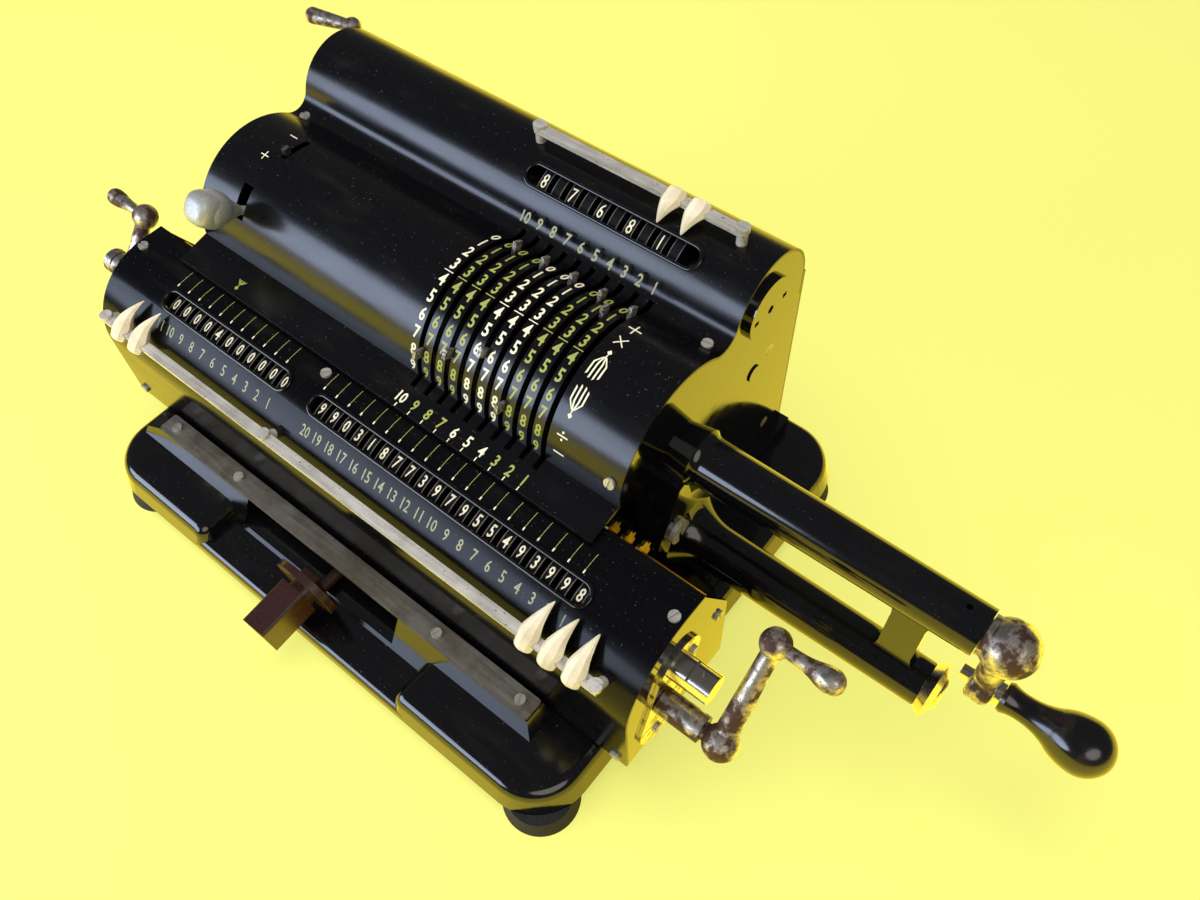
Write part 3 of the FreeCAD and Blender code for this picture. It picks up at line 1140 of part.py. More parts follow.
# The transfer gears' rod lies on the line between the drum and the numeral wheels.
drum_to_dial_y = S.dial_y - S.drum_y
drum_to_dial_z = S.dial_height - S.drum_height
drum_to_dial = S.keep("drum_to_dial", root(drum_to_dial_y * drum_to_dial_y + drum_to_dial_z * drum_to_dial_z))
transfer_axis = (drum_y + S.transfer_reach * drum_to_dial_y / drum_to_dial,
                 drum_z + S.transfer_reach * drum_to_dial_z / drum_to_dial)
gear_radius = S.keep("gear_radius", drum_to_dial - S.transfer_reach - S.transfer_radius - 0.6)


def gear_outline(y, z, radius, teeth):
    """A toothed outline in the YZ plane."""
    points = []
    for tooth in range(teeth):
        for part, share in ((0, 0.86), (0.22, 1.0), (0.5, 1.0), (0.72, 0.86)):
            angle = 360 * (tooth + part) / teeth
            points.append((y + radius * (share * math.cos(math.radians(angle))),
                           z + radius * (share * math.sin(math.radians(angle)))))
    return points


def make_transfer_gears():
    y, z = transfer_axis
    start = carriage_left + S.end_plate_thickness
    shaft = rod("Transfer_rod", as_size(3), S.carriage_right - S.carriage_left - 2 * S.end_plate_thickness,
                start, y, z)
    first = X0 + S.product_first_x + S.column_pitch / 2 - 0.8
    body = padded("Transfer_gear", "YZ", gear_outline(y, z, S.transfer_radius, 10), first, as_size(1.6))
    repeat_along_x(body, "Transfer_row", body.Tip, S.column_pitch, PRODUCT_WHEELS)
    return node("transfer_gears", join("Transfer_gears", [shaft, body]))


def make_wheel_set(label, first, count, start, end):
    """Numeral wheels with their drive gears on one shaft."""
    parts = [rod(label + "_shaft", S.dial_shaft_radius, end - start, start, dial_y, dial_z),
             rod(label + "_hub", as_size(8), S.column_pitch * (count - 1) + S.dial_width,
                 first - S.dial_width / 2,
                 dial_y, dial_z)]
    for number in range(round(count)):
        x = first + S.column_pitch * number
        parts.append(rod(f"{label}_wheel_{number}", S.dial_radius, S.dial_width, x - S.dial_width / 2, dial_y,
                         dial_z))
        parts.append(rod(f"{label}_gear_{number}", gear_radius, as_size(1.4), x + S.column_pitch / 2 - 0.7,
                         dial_y, dial_z))
    return join(label + "_solid", parts)


def slotted(label, solid, x):
    """Cut the screwdriver slot and the pin hole in the top of a collar on the numeral shaft."""
    top = dial_z + S.collar_radius
    return cut(label.title(), solid,
               [block(label + "_slot", (x, x + 1.2), (dial_y - 9, dial_y + 9), (top - 2.4, top + 3)),
                rod(label + "_hole", as_size(1.6), as_size(5), x + 5.8, dial_y, top - 2,
                    "Z")])


def make_product_wheels():
    label = "product_wheel_set"
    first = X0 + S.product_first_x
    wheels = make_wheel_set(label, first, PRODUCT_WHEELS, first - 8, carriage_right + 4)
    collar = rod(label + "_collar", S.collar_radius, S.collar_length, carriage_right + 0.4, dial_y, dial_z)
    return node(label,
                slotted(label, join(label + "_whole", [wheels, collar]),
                        carriage_right + S.collar_length * 0.45))


def make_counter_wheels():
    label = "counter_wheel_set"
    first = X0 + S.counter_first_x
    end = first + S.column_pitch * COUNTER_WHEELS
    return node(label, make_wheel_set(label, first, COUNTER_WHEELS, carriage_left - 12, end))


def clearing_handle(label, x, knuckle, side):
    """The outer ball of a clearing crank with its handle."""
    far = S.clear_handle
    thick = as_size(5.3 if side > 0 else 4.5)
    shoulder = 3.0 + (thick - 3.0) * 0.5
    points = [(-2, 0), (-2, 3.5), (far * 0.38, 3.0, 60), (far * 0.6, shoulder, 30),
              (far * 0.82, thick, -crown_radius(far * 0.22, thick - shoulder)),
              (far, 0, -crown_radius(far * 0.18, thick))]
    turn = UPRIGHT if side > 0 else Rotation(Vector(0, 0, 1), 180)
    knuckle_ball = ball(label + "_knuckle", S.clear_knuckle, x, *knuckle)
    # The ball's seam is turned away from the handle, so that the two join cleanly.
    place(knuckle_ball, x, *knuckle, Rotation(Vector(0, 0, 1), 90))
    return [knuckle_ball, turned(label + "_handle", points, x, *knuckle, turn)]


def make_product_crank():
    """The right clearing crank, on a shaft of its own below the numeral wheels."""
    label = "product_clear_crank"
    x = carriage_right + S.clear_barrel + S.clear_ball + 0.4
    face = S.register_plate_thickness + 0.4
    knuckle = (Y0 + S.clear_knuckle_y, S.clear_knuckle_height)
    parts = [rod(label + "_barrel", S.clear_barrel_radius, S.clear_barrel - face, carriage_right + face,
                 clear_y, clear_z),
             rod(label + "_core", as_size(4), S.clear_barrel + 9, carriage_right - 4, clear_y, clear_z),
             ball(label + "_hub", S.clear_ball, x, clear_y, clear_z),
             tapered(label + "_arm", (x, clear_y, clear_z), (x, *knuckle), 5.2, 3.8)]
    return node(label, join(label.title(), parts + clearing_handle(label, x, knuckle, 1)))


def make_counter_crank():
    """The left clearing crank, fixed on the end of the counter's own shaft."""
    label = "counter_clear_crank"
    x = carriage_left - S.clear_left_plane
    face = carriage_left - S.register_plate_thickness - 0.4
    knuckle = (Y0 + S.clear_knuckle_y - 2, S.clear_knuckle_height + 3)
    barrel = rod(label + "_barrel", S.collar_radius, S.clear_left_length - S.register_plate_thickness - 0.4,
                 carriage_left - S.clear_left_length, dial_y, dial_z)
    arm = tapered(label + "_arm", (x, dial_y, dial_z), (x, *knuckle), 5.0, 3.8)
    solid = join(label + "_solid", [barrel, arm] + clearing_handle(label, x, knuckle, -1))
    bored = cut(label + "_bored", solid,
                [rod(label + "_bore", S.dial_shaft_radius + 0.02, as_size(16), face - 10.2, dial_y, dial_z)])
    return node(label, slotted(label, bored, carriage_left - S.clear_left_length + 5))


def make_shift_knob():
    x = X0 + S.shift_x
    wall = Y0 + S.nose_y - S.nose_radius + S.cover_thickness
    flange_y, flange_z = Y0 + S.shift_flange_y, S.shift_flange_height
    start = flange_y + 3
    stem = rod("Shift_stem", S.stem_radius, wall + 8 - start, x, start, S.stem_height, "Y")
    shank = block("Shift_block", (x - 5, x + 5), (flange_y + 1.5, flange_y + 5.5),
                  (S.stem_height - 3.4, flange_z + 6))
    heading = Vector(0, -math.cos(math.radians(S.grip_tilt.value)), math.sin(math.radians(S.grip_tilt.value)))
    flange = rod("Shift_flange", S.shift_flange_radius, as_size(3.6), x, flange_y + 2.2, flange_z,
                 Rotation(Vector(0, 0, 1), heading))
    neck = rod("Shift_neck", S.grip_neck, S.grip_start + 2, x, flange_y + 1, flange_z,
               Rotation(Vector(0, 0, 1), heading))
    wide, tall = S.grip_width / 2, S.grip_height / 2
    grip = padded("Shift_grip", "XY", rounded_rectangle(-wide, wide, -tall, tall, as_size(2)), S.grip_start,
                  S.grip_length)
    place(grip, x, flange_y + 2.2, flange_z, Rotation(Vector(1, 0, 0), 90 - S.grip_tilt.value))
    return node("shift_knob", join("Shift_knob", [stem, shank, flange, neck, grip]))


# ---------------------------------------------------------------- pointer rails and pointers

def rail_posts(name, xs, y, z, foot_direction, length):
    posts = []
    for number, x in enumerate(xs):
        posts.append(rod(f"{name}_post_{number}", as_size(2.4), length, x, y, z,
                         Rotation(Vector(0, 0, 1), foot_direction)))
        posts.append(rod(f"{name}_head_{number}", as_size(3.1), as_size(2.4), x, y,
                         z + S.pointer_rail_thickness / 2 - 0.6, "Z"))
    return posts


def make_lower_rail():
    y, z = lower_rail
    half, thick = S.pointer_rail_width / 2, S.pointer_rail_thickness / 2
    left, right = X0 + S.lower_rail_left, X0 + S.lower_rail_right
    bar = block("Lower_bar", (left, right), (y - half, y + half), (z - thick, z + thick))
    inward = Vector(0, (nose_y - y).value, (nose_z - z).value)
    xs = [left + 2, X0 - 79.7, right - 2]
    return node("carriage_pointer_rail", join("Carriage_pointer_rail",
                                              [bar] + rail_posts("Lower", xs, y, z, inward,
                                                                 S.lower_rail_stand)))


def make_upper_rail():
    y, z = upper_rail
    half, thick = S.pointer_rail_width / 2, S.pointer_rail_thickness / 2
    left, right = X0 + S.upper_rail_left, X0 + S.upper_rail_right
    bar = block("Upper_bar", (left, right), (y - half, y + half), (z - thick, z + thick))
    posts = rail_posts("Upper", [left + 1.5, right - 1.5], y, z, Vector(0, 0, -1), S.upper_rail_stand)
    return node("upper_pointer_rail", join("Upper_pointer_rail", [bar] + posts))


def make_pointer(label, x, rail, tip, lean):
    """A claw-shaped pointer that slides on a rail. Its lean is how far the tip stands to the right."""
    (rail_y, rail_z), (tip_y, tip_z) = rail, tip
    half, thick = S.pointer_rail_width / 2, S.pointer_rail_thickness / 2
    side = 1 if tip_y.value > rail_y.value else -1
    dy, dz = (tip_y - rail_y) * side, tip_z - rail_z
    reach = S.keep(label + "_reach", root(dy * dy + dz * dz))
    cy, cz = S.keep(label + "_cy", dy / reach), S.keep(label + "_cz", dz / reach)

    def at(along, out, *radius):
        u = rail_y + side * (along * cy - out * cz)
        return (u, rail_z + along * cz + out * cy, *[value * side for value in radius])

    points = [at(as_size(-5.2), as_size(-4.2)), at(as_size(4.2), as_size(-4.2)),
              at(reach, as_size(-0.4), -reach * 1.3),
              at(reach, as_size(0.4)), at(as_size(-1), as_size(6.2), reach * 1.15 + 3),
              at(as_size(-5.2), as_size(3), as_size(7))]
    if side < 0:
        points = mirrored_loop(points)
    blade = padded(label.title(), "YZ", points, x - S.pointer_width / 2, S.pointer_width + abs(lean))
    back, belly = rail_y - side * 12, rail_y + side * 5
    w = S.pointer_width / 2
    plan = [(x - w, back), (x + w, back), (x + w, belly), (x + lean + 0.8, tip_y + side * 1),
            (x + lean - 0.8, tip_y + side * 1), (x - w, belly)]
    if side < 0:
        plan = plan[::-1]
    limits = padded(label.title() + "_plan", "XY", plan, rail_z - 12, as_size(40))
    way = block(label.title() + "_way", (x - S.pointer_width * 2, x + S.pointer_width * 2),
                (rail_y - half - S.pointer_gap, rail_y + half + S.pointer_gap),
                (rail_z - thick - S.pointer_gap, rail_z + thick + S.pointer_gap))
    return node(label, cut(label.title() + "_slider", common(label.title() + "_claw", blade, limits), [way]))


def mirrored_loop(points):
    """The same loop run the other way round, each arc's radius moved to the point it now reaches."""
    bare = [point[:2] for point in points]
    radii = [point[2:] for point in points]
    loop = []
    for index in range(len(points) - 1, -1, -1):
        radius = radii[(index + 1) % len(points)]
        loop.append((*bare[index], *[-1 * value for value in radius]))
    return loop


# ---------------------------------------------------------------- fasteners

def make_machine_screws():
    left_end, right_end = body_left + 8, body_right - 8
    strip_y, strip_z = Y0 + S.rail_rear - S.rail_width / 2, S.rail_top + S.strip_thickness
    rail_left, rail_right = X0 + S.rail_left, X0 + S.rail_right
    spots = [(x, strip_y, strip_z, Vector(0, 0, 1)) for x in (rail_left + 9, rail_left + 59.5,
                                                              rail_right - 60, rail_right - 8.5)]
    valley_spot = (drum_y + valley_dy - 1, drum_z + valley_dz - S.valley_radius)
    for x in (left_end, right_end):
        spots.append((x, *valley_spot, Vector(0, 0, 1)))
    front_angle = 162
    for x in (left_end, body_right - 5.5):
        spots.append((x, drum_y + S.cover_radius * cosine(front_angle),
                      drum_z + S.cover_radius * sine(front_angle), facing(front_angle)))
    panel_y = lobe_y + S.lobe_radius + S.rear_panel_thickness
    for x in (left_end, (body_left + body_right) / 2, right_end):
        for z in (S.seat_height + 8, rear_panel_top - 7):
            spots.append((x, panel_y, z, Vector(0, 1, 0)))
    small = screws(spots, S.screw_radius, S.screw_head, S.screw_shank, S.screw_depth)
    face = body_right + S.flange_thickness
    big = screws([(face, drum_y - 16, rest_z + 16.5, Vector(1, 0, 0)),
                  (face, drum_y + 17, rest_z + 16.5, Vector(1, 0, 0))],
                 6.2, 2.2, 3, 7)
    return node("machine_screws", gather("Machine_screws", [small, big]))


def make_carriage_screws():
    top = S.nose_height + S.nose_radius
    spots = [(x, Y0 + S.nose_y - 3, top - 0.1, Vector(0, 0, 1)) for x in (carriage_left + 5,
                                                                          carriage_left + 141,
                                                                          carriage_right - 4.4)]
    face = Y0 + S.nose_y - S.nose_radius
    for x in (carriage_left + 6, carriage_right - 6):
        spots.append((x, face, as_size(30), Vector(0, -1, 0)))
    right, left = Vector(1, 0, 0), Vector(-1, 0, 0)
    spots += [(carriage_right, Y0 - 15, as_size(72), right), (carriage_left, Y0 - 15, as_size(72), left)]
    for x, outward in ((carriage_right + S.register_plate_thickness, right),
                       (carriage_left - S.register_plate_thickness, left)):
        spots += [(x, dial_y + 11, dial_z - 6, outward), (x, clear_y - 3, clear_z - 26, outward)]
    return node("carriage_screws", screws(spots, S.screw_radius, S.screw_head, S.screw_shank, 2.2))


# ---------------------------------------------------------------- the whole machine

make_base()
make_feet()
make_strip()
make_side_plate("side_plate_left", body_left)
make_side_plate("side_plate_right", body_right - S.plate_thickness)
make_rear_panel()
make_frame_rods()
make_top_cover()
make_upper_rail()
make_bracket()
make_rest_cone()
make_bearings()
make_bell()
make_carry_hammers()
make_main_shaft()
make_pinwheels()
make_crank()
make_spindle()
make_grip()
for column in range(10):
    make_setting_lever(column)
    make_check_dial(column)
make_check_clear()
make_sign_lever()
make_clear_knob()
make_carriage_cover()
make_carriage_frame()
make_transfer_gears()
make_product_wheels()
make_counter_wheels()
make_product_crank()
make_counter_crank()
make_shift_knob()
make_lower_rail()
lower_tip = on_nose(S.lower_tip_angle, S.lower_tip_stand)
for name, x, lean in (("counter_pointer_left", -186.5, 5.0), ("counter_pointer_right", -173.0, 5.0),
                      ("product_pointer_left", 81.0, 2.6), ("product_pointer_middle", 93.0, 2.9),
                      ("product_pointer_right", 105.5, 1.0)):
    make_pointer(name, X0 + x, lower_rail, lower_tip, lean)
upper_reach = S.lobe_radius + S.upper_tip_stand
upper_tip = (lobe_y + upper_reach * cosine(S.upper_tip_angle), lobe_z + upper_reach * sine(S.upper_tip_angle))
for name, x in (("check_pointer_left", 30.0), ("check_pointer_right", 42.4)):
    make_pointer(name, X0 + x, upper_rail, upper_tip, -1.5)
make_machine_screws()
make_carriage_screws()

doc.recompute()
problems = [f"{item.Label}: {item.State}" for item in doc.Objects
            if "Invalid" in item.State or "Error" in item.State]
for label, item in NODES.items():
    if item.Shape.isNull() or not item.Shape.isValid():
        problems.append(f"{label}: shape is null or not valid")
if problems:
    raise RuntimeError("; ".join(problems))
os.makedirs("parts", exist_ok=True)
box = FreeCAD.BoundBox()
for label, item in NODES.items():
    item.Shape.exportStep(f"parts/{label}.step")
    box.add(item.Shape.BoundBox)
print(len(NODES), "sub-parts, box", box)
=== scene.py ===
"""Finishes, marks and stage of a pinwheel calculator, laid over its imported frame."""
import json
import math

import bmesh
import bpy
from mathutils import Euler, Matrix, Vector


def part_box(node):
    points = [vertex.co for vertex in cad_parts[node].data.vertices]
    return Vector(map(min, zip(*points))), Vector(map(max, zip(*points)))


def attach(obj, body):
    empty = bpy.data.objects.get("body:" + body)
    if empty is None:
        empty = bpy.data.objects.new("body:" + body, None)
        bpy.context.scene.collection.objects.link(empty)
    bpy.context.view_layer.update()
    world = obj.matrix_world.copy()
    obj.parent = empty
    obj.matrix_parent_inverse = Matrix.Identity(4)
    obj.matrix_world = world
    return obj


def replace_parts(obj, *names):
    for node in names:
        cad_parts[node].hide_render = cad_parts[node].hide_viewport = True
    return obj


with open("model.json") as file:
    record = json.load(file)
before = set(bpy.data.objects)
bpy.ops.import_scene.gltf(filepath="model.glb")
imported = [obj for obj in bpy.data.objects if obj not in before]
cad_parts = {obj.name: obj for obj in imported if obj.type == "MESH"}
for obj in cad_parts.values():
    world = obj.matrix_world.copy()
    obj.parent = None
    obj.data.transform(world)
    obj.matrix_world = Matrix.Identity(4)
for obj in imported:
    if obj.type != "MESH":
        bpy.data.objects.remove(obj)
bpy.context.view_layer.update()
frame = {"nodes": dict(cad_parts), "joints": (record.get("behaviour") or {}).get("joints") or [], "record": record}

bl_info = {
    "name": "Pinwheel Calculator",
    "version": (1, 0, 0),
    "blender": (4, 5, 0),
    "location": "3D View > Sidebar > Calculator",
    "description": "Finishes, marks and stage of a pinwheel calculator",
    "category": "Object",
}

MM = 0.001
JOINTS = {joint["name"]: joint for joint in frame["joints"]}

# Places are in millimetres. X and Y are counted from the middle of the ten setting columns,
# and Z from the table. An axis along X is given by its Y and Z.
DATUM_X = JOINTS["lever_10_set"]["pos_m"][0] / MM + 31.0
DATUM_Y = JOINTS["drum_turn"]["pos_m"][1] / MM - 22.8

# The rolls and wheels that carry the marks.
PITCH = 8.0
DRUM = (22.8, 112.0)
COVER_RADIUS = 41.5
LOBE = (86.3, 142.0)
LOBE_RADIUS = 26.7
NOSE = (-38.0, 67.5)
NOSE_RADIUS = 40.0
WHEELS = (-46.0, 80.0)
WHEEL_RADIUS = 22.0
WHEEL_WIDTH = 5.0
DIALS = (82.3, 145.3)
DIAL_RADIUS = 19.2
DIAL_WIDTH = 4.6

# The first column of each row of wheels or slots, at its left end.
FIRST_COLUMN = -31.0
FIRST_PRODUCT = -62.6
FIRST_COUNTER = -168.2

# Rows of marks. An angle round a roll is counted from the rear, over the top. A row on a flat
# sheet is given by its Y, its Z and the slope of the sheet in degrees.
DIGIT_TURN = 36.0
SLOT_DIGIT_TURN = 12.0
SLOT_ZERO = 62.5
SLOT_TICK = 104.5
NUMERALS_LEFT = 4.0
UPPER_NUMBERS = (58.0, 151.3, 45.0)
APRON_NUMBERS = (-31.0, 111.5, 9.0)
APRON_TICKS = (-35.4, 110.8, 9.0)
APRON_ARROW = (-27.0, 112.1, 9.0)
APRON_ARROW_X = -142.6
# APRON_EDGE: where the painted highlight along the apron's front edge lies.
APRON_EDGE = (-36.4, 110.65, 9.0)
APRON_EDGE_X = -54.0
APRON_EDGE_LENGTH = 255.0
PLACE_NUMBERS = 133.0
RULED_LINES_LEFT = 3.6
WHEEL_READING = 109.6
DIAL_READING = 120.7

# How wide each kind of numeral is for its height, and how much bolder than the plain font.
COVER_NARROW = 0.78
LABEL_NARROW = 0.8
PLACE_NARROW = 0.72
WHEEL_NARROW = 0.66
COVER_BOLD = 0.02
PLACE_BOLD = 0.008
WHEEL_BOLD = 0.012
DIAL_BOLD = 0.0

# Each sign on the cover: its shape, its height, its X and its angle round the drum.
SIGNS_X = 49.0
SIGNS = (("plus", 6.5, SIGNS_X, 74), ("times", 5.5, SIGNS_X, 87), ("divide", 5.5, SIGNS_X, 152.6),
         ("minus", 5.5, SIGNS_X, 164.8), ("plus", 5, -157.5, 101.7), ("minus", 5, -156.4, 77.7),
         ("arrow", 15, SIGNS_X, 105.5), ("arrow_back", 15, SIGNS_X, 130.5))

# Rows of bent bars: start and sweep in degrees, width along X and thickness.
RULED_LINES = (89.5, 13.5, 0.28, 0.1)
RULED_FEET = (101.5, 2.2, 0.7, 0.16)
WHEEL_EDGES = (0, 360, 0.3, 0.3)
DIAL_EDGES = (0, 360, 0.25, 0.25)

# Where a finish changes along its part.
# LEVER_SHADE_RADIUS: inside this reach from the drum axis the levers are painted black as painted shade under the
# cover.
LEVER_SHADE_RADIUS = 39.5
PRODUCT_COLLAR = 130.4
COUNTER_COLLAR = -212.0
PLATE_MARGIN = 0.1

# Parts whose enamel or steel differs from that of their material slot.
SPECIAL_FINISHES = {"side_plate_left": "plate_enamel", "side_plate_right": "plate_enamel",
                    "carriage_frame": "plate_enamel", "shaft_bearings": "plate_enamel",
                    "carriage_cover": "carriage_enamel", "carriage_pointer_rail": "rail_steel",
                    "upper_pointer_rail": "rail_steel"}

# The pointers and the way bored through them for their rail.
POINTER_WIDTH = 10.0
POINTER_PLAY = 0.15
RAIL_HALF = (2.5, 1.2)

# The beads round the numeral windows.
WINDOW_HALF = 4.4
RIM_WIDTH = 1.8
RIM_HEIGHT = 0.8
BEAD_SUNK = 0.35
BEAD_FLATNESS = 0.75
NOSE_WINDOW = 114.4
LOBE_WINDOW = 124.5
CHECK_WINDOW_ENDS = (-35.0, 49.0)

# The cast clear knob: its X, the angle of its stem and how far out its stem's middle lies.
KNOB = (-154.4, 142.0, 58.5)
KNOB_RADIUS = 9.15
KNOB_HALF_LENGTH = 10.2
KNOB_OUTWARD = 0.5
KNOB_SWELL = 0.1
KNOB_FULLNESS = 0.62
KNOB_BLUNTNESS = 0.85
KNOB_SQUARENESS = 0.72

# What the machine shows at rest, from left to right.
SET_DIGITS = [8, 0, 7, 0, 6, 0, 8, 0, 1, 0]
PRODUCT_DIGITS = [9, 9, 0, 3, 1, 8, 7, 7, 3, 9, 7, 9, 5, 5, 4, 9, 3, 9, 9, 8]
COUNTER_DIGITS = [0, 0, 0, 0, 4, 0, 0, 0, 0, 0, 0]

# The stage. The camera's turn is in degrees about X, Y and Z.
CAMERA_SPOT = (221.09344, -185.29496, 471.5264)
CAMERA_TURN = (34.52067, 1.91603, 38.83979)
CAMERA_LENS = 30.99
FLOOR_HALF = 4000.0
LIGHT_AIM = (0, 20, 90)


def linear(text):
    """Turn an sRGB hex colour into the linear colour that nodes use."""
    parts = [int(text[place:place + 2], 16) / 255 for place in (1, 3, 5)]
    return tuple(part / 12.92 if part <= 0.04045 else ((part + 0.055) / 1.055) ** 2.4 for part in parts)


def place(x, y, z):
    """A point counted from the column datum, in metres of the frame."""
    return Vector(((DATUM_X + x) * MM, (DATUM_Y + y) * MM, z * MM))


def on_circle(centre, radius, degrees):
    """The Y and Z of a point round an axis. The angle is counted from the rear, over the top."""
    turn = math.radians(degrees)
    return centre[0] + radius * math.cos(turn), centre[1] + radius * math.sin(turn)


LOWER_RAIL = on_circle(NOSE, NOSE_RADIUS + 5.7, 149.06)
LOWER_TIP = on_circle(NOSE, NOSE_RADIUS + 2.64, 125.0)
UPPER_RAIL = (LOBE[0], LOBE[1] + LOBE_RADIUS + 6.3)
UPPER_TIP = on_circle(LOBE, LOBE_RADIUS + 1.6, 112.4)
POINTERS = {"counter_pointer_left": 5.0, "counter_pointer_right": 5.0, "product_pointer_left": 2.6,
            "product_pointer_middle": 2.9, "product_pointer_right": 1.0, "check_pointer_left": -1.5,
            "check_pointer_right": -1.5}


# ---------------------------------------------------------------- settings

def colour(name, description, value):
    """A colour setting, given as an sRGB hex colour."""
    return bpy.props.FloatVectorProperty(name=name, description=description, subtype="COLOR", size=3,
                                         min=0.0, max=1.0, default=linear(value))


def length(name, description, value):
    """A length setting, given in millimetres."""
    return bpy.props.FloatProperty(name=name, description=description, subtype="DISTANCE", unit="LENGTH",
                                   min=0.0, precision=5, default=value * MM)


class CalculatorColours(bpy.types.PropertyGroup):
    """Colours of the finishes"""
    enamel: colour("Enamel", "Black stoved enamel of the casting and the covers", "#08080a")
    dust: colour("Dust", "Dust and rubbed places on the enamel", "#6a6458")
    nickel: colour("Nickel", "Nickel plate of the levers, cranks and rails", "#d8d2c4")
    rust: colour("Rust", "Brown patina and rust in the nickel plate", "#4d372c")
    steel: colour("Steel", "Bare machined steel", "#9a9894")
    brass: colour("Brass", "Machined brass of the bell and the gears", "#a8823f")
    cream: colour("Cream numerals", "Paint of the cream numerals", "#f0e6c0")
    gold: colour("Gold numerals", "Paint of the yellow numerals", "#9da04a")
    dim: colour("Dim numerals", "Paint of the small carriage numerals, dulled by handling", "#98956f")
    ivory: colour("Ivory resin", "Cream resin of the pointers", "#e9dcbb")
    brown: colour("Brown resin", "Brown skin of the shift knob", "#2e1712")
    # Painted light: this amber is painted on the knob's sideways faces.
    amber: colour("Amber resin", "Amber depth of the shift knob's sides", "#54330b")


class CalculatorMarks(bpy.types.PropertyGroup):
    """Heights of the numerals and of their paint"""
    cover_height: length("Cover numerals", "Height of the numerals beside the setting slots", 6.2)
    label_height: length("Column numbers", "Height of the column numbers", 5.6)
    wheel_height: length("Wheel numerals", "Height of the numerals on the register wheels", 6.0)
    dial_height: length("Dial numerals", "Height of the numerals on the check dials", 6.8)
    relief: length("Relief", "How far paint stands above the metal", 0.1)


class CalculatorStage(bpy.types.PropertyGroup):
    """Floor colour and strengths of the lights"""
    floor: colour("Floor", "Plain pale floor", "#fffd84")
    window_power: bpy.props.FloatProperty(name="Window light", description="Soft light low in front",
                                          unit="POWER", min=0.0, default=14.0)
    top_power: bpy.props.FloatProperty(name="Top light", description="Soft light overhead", unit="POWER",
                                       min=0.0, default=26.0)
    side_power: bpy.props.FloatProperty(name="Side light", description="Broad light from the right",
                                        unit="POWER", min=0.0, default=8.0)
    room_level: bpy.props.FloatProperty(name="Room", description="Plain light from all round",
                                        subtype="FACTOR", min=0.0, max=2.0, default=0.1)


# ---------------------------------------------------------------- materials

def add(tree, kind, inputs=(), **settings):
    """Add a node with its settings. An input is a value, or a socket to link from."""
    node = tree.nodes.new(kind)
    for name, value in settings.items():
        setattr(node, name, value)
    for name, value in dict(inputs).items():
        if isinstance(value, bpy.types.NodeSocket):
            tree.links.new(value, node.inputs[name])
        else:
            node.inputs[name].default_value = value
    return node


def per_mm(size):
    """The texture scale that gives a pattern of this size in millimetres."""
    return 1 / (size * MM)


def opaque(value):
    return (*value, 1.0)


def start_material(name):
    material = bpy.data.materials.new(name)
    material.use_nodes = True
    tree = material.node_tree
    tree.nodes.clear()
    return material, tree, add(tree, "ShaderNodeTexCoord").outputs["Object"]


def finish_material(material, tree, bump, bump_mm, strength, **values):
    """The surface shader with its relief. bump is a height socket and bump_mm its depth."""
    relief = add(tree, "ShaderNodeBump", {"Height": bump, "Distance": bump_mm * MM, "Strength": strength})
    inputs = {name.replace("_", " "): value for name, value in values.items()}
    shader = add(tree, "ShaderNodeBsdfPrincipled", {**inputs, "Normal": relief.outputs["Normal"]})
    add(tree, "ShaderNodeOutputMaterial", {"Surface": shader.outputs["BSDF"]})
    return material


def beyond(tree, spot, low, high):
    """One left of low and right of high, which are in millimetres along X, and nought between them."""
    split = add(tree, "ShaderNodeSeparateXYZ", {"Vector": spot})
    right = add(tree, "ShaderNodeMath", {0: split.outputs["X"], 1: high * MM}, operation="GREATER_THAN")
    left = add(tree, "ShaderNodeMath", {0: split.outputs["X"], 1: low * MM}, operation="LESS_THAN")
    return add(tree, "ShaderNodeMath", {0: right.outputs["Value"], 1: left.outputs["Value"]},
               operation="ADD", use_clamp=True).outputs["Value"]


def dusted(tree, spot, colours, dusty):
    """Black enamel colour under pale dust specks and wiped smears, and the smears' own height."""
    cloud = add(tree, "ShaderNodeTexNoise", {"Vector": spot, "Scale": per_mm(42), "Detail": 5.0})
    wiped = add(tree, "ShaderNodeMapping", {"Vector": spot, "Scale": (0.22, 1.0, 1.0)})
    smear = add(tree, "ShaderNodeTexNoise", {"Vector": wiped.outputs["Vector"], "Scale": per_mm(7),
                                             "Detail": 4.0})
    speck = add(tree, "ShaderNodeTexNoise", {"Vector": spot, "Scale": per_mm(1.1), "Detail": 1.0})
    patch = add(tree, "ShaderNodeMapRange", {"Value": cloud.outputs["Fac"], "From Min": 0.42,
                                             "From Max": 0.72, "To Min": 0.0, "To Max": 1.0})
    grit = add(tree, "ShaderNodeMapRange", {"Value": speck.outputs["Fac"], "From Min": 0.73,
                                            "From Max": 0.77, "To Min": 0.0, "To Max": dusty})
    film = add(tree, "ShaderNodeMapRange", {"Value": smear.outputs["Fac"], "From Min": 0.5, "From Max": 0.8,
                                            "To Min": 0.0, "To Max": dusty * 0.16})
    haze = add(tree, "ShaderNodeMath", {0: patch.outputs["Result"], 1: film.outputs["Result"]},
               operation="MULTIPLY")
    soil = add(tree, "ShaderNodeMath", {0: grit.outputs["Result"], 1: haze.outputs["Value"]},
               operation="MAXIMUM")
    tint = add(tree, "ShaderNodeMix", {0: soil.outputs["Value"], 6: opaque(colours.enamel),
                                       7: opaque(colours.dust)}, data_type="RGBA")
    return tint.outputs[2], smear.outputs["Fac"]


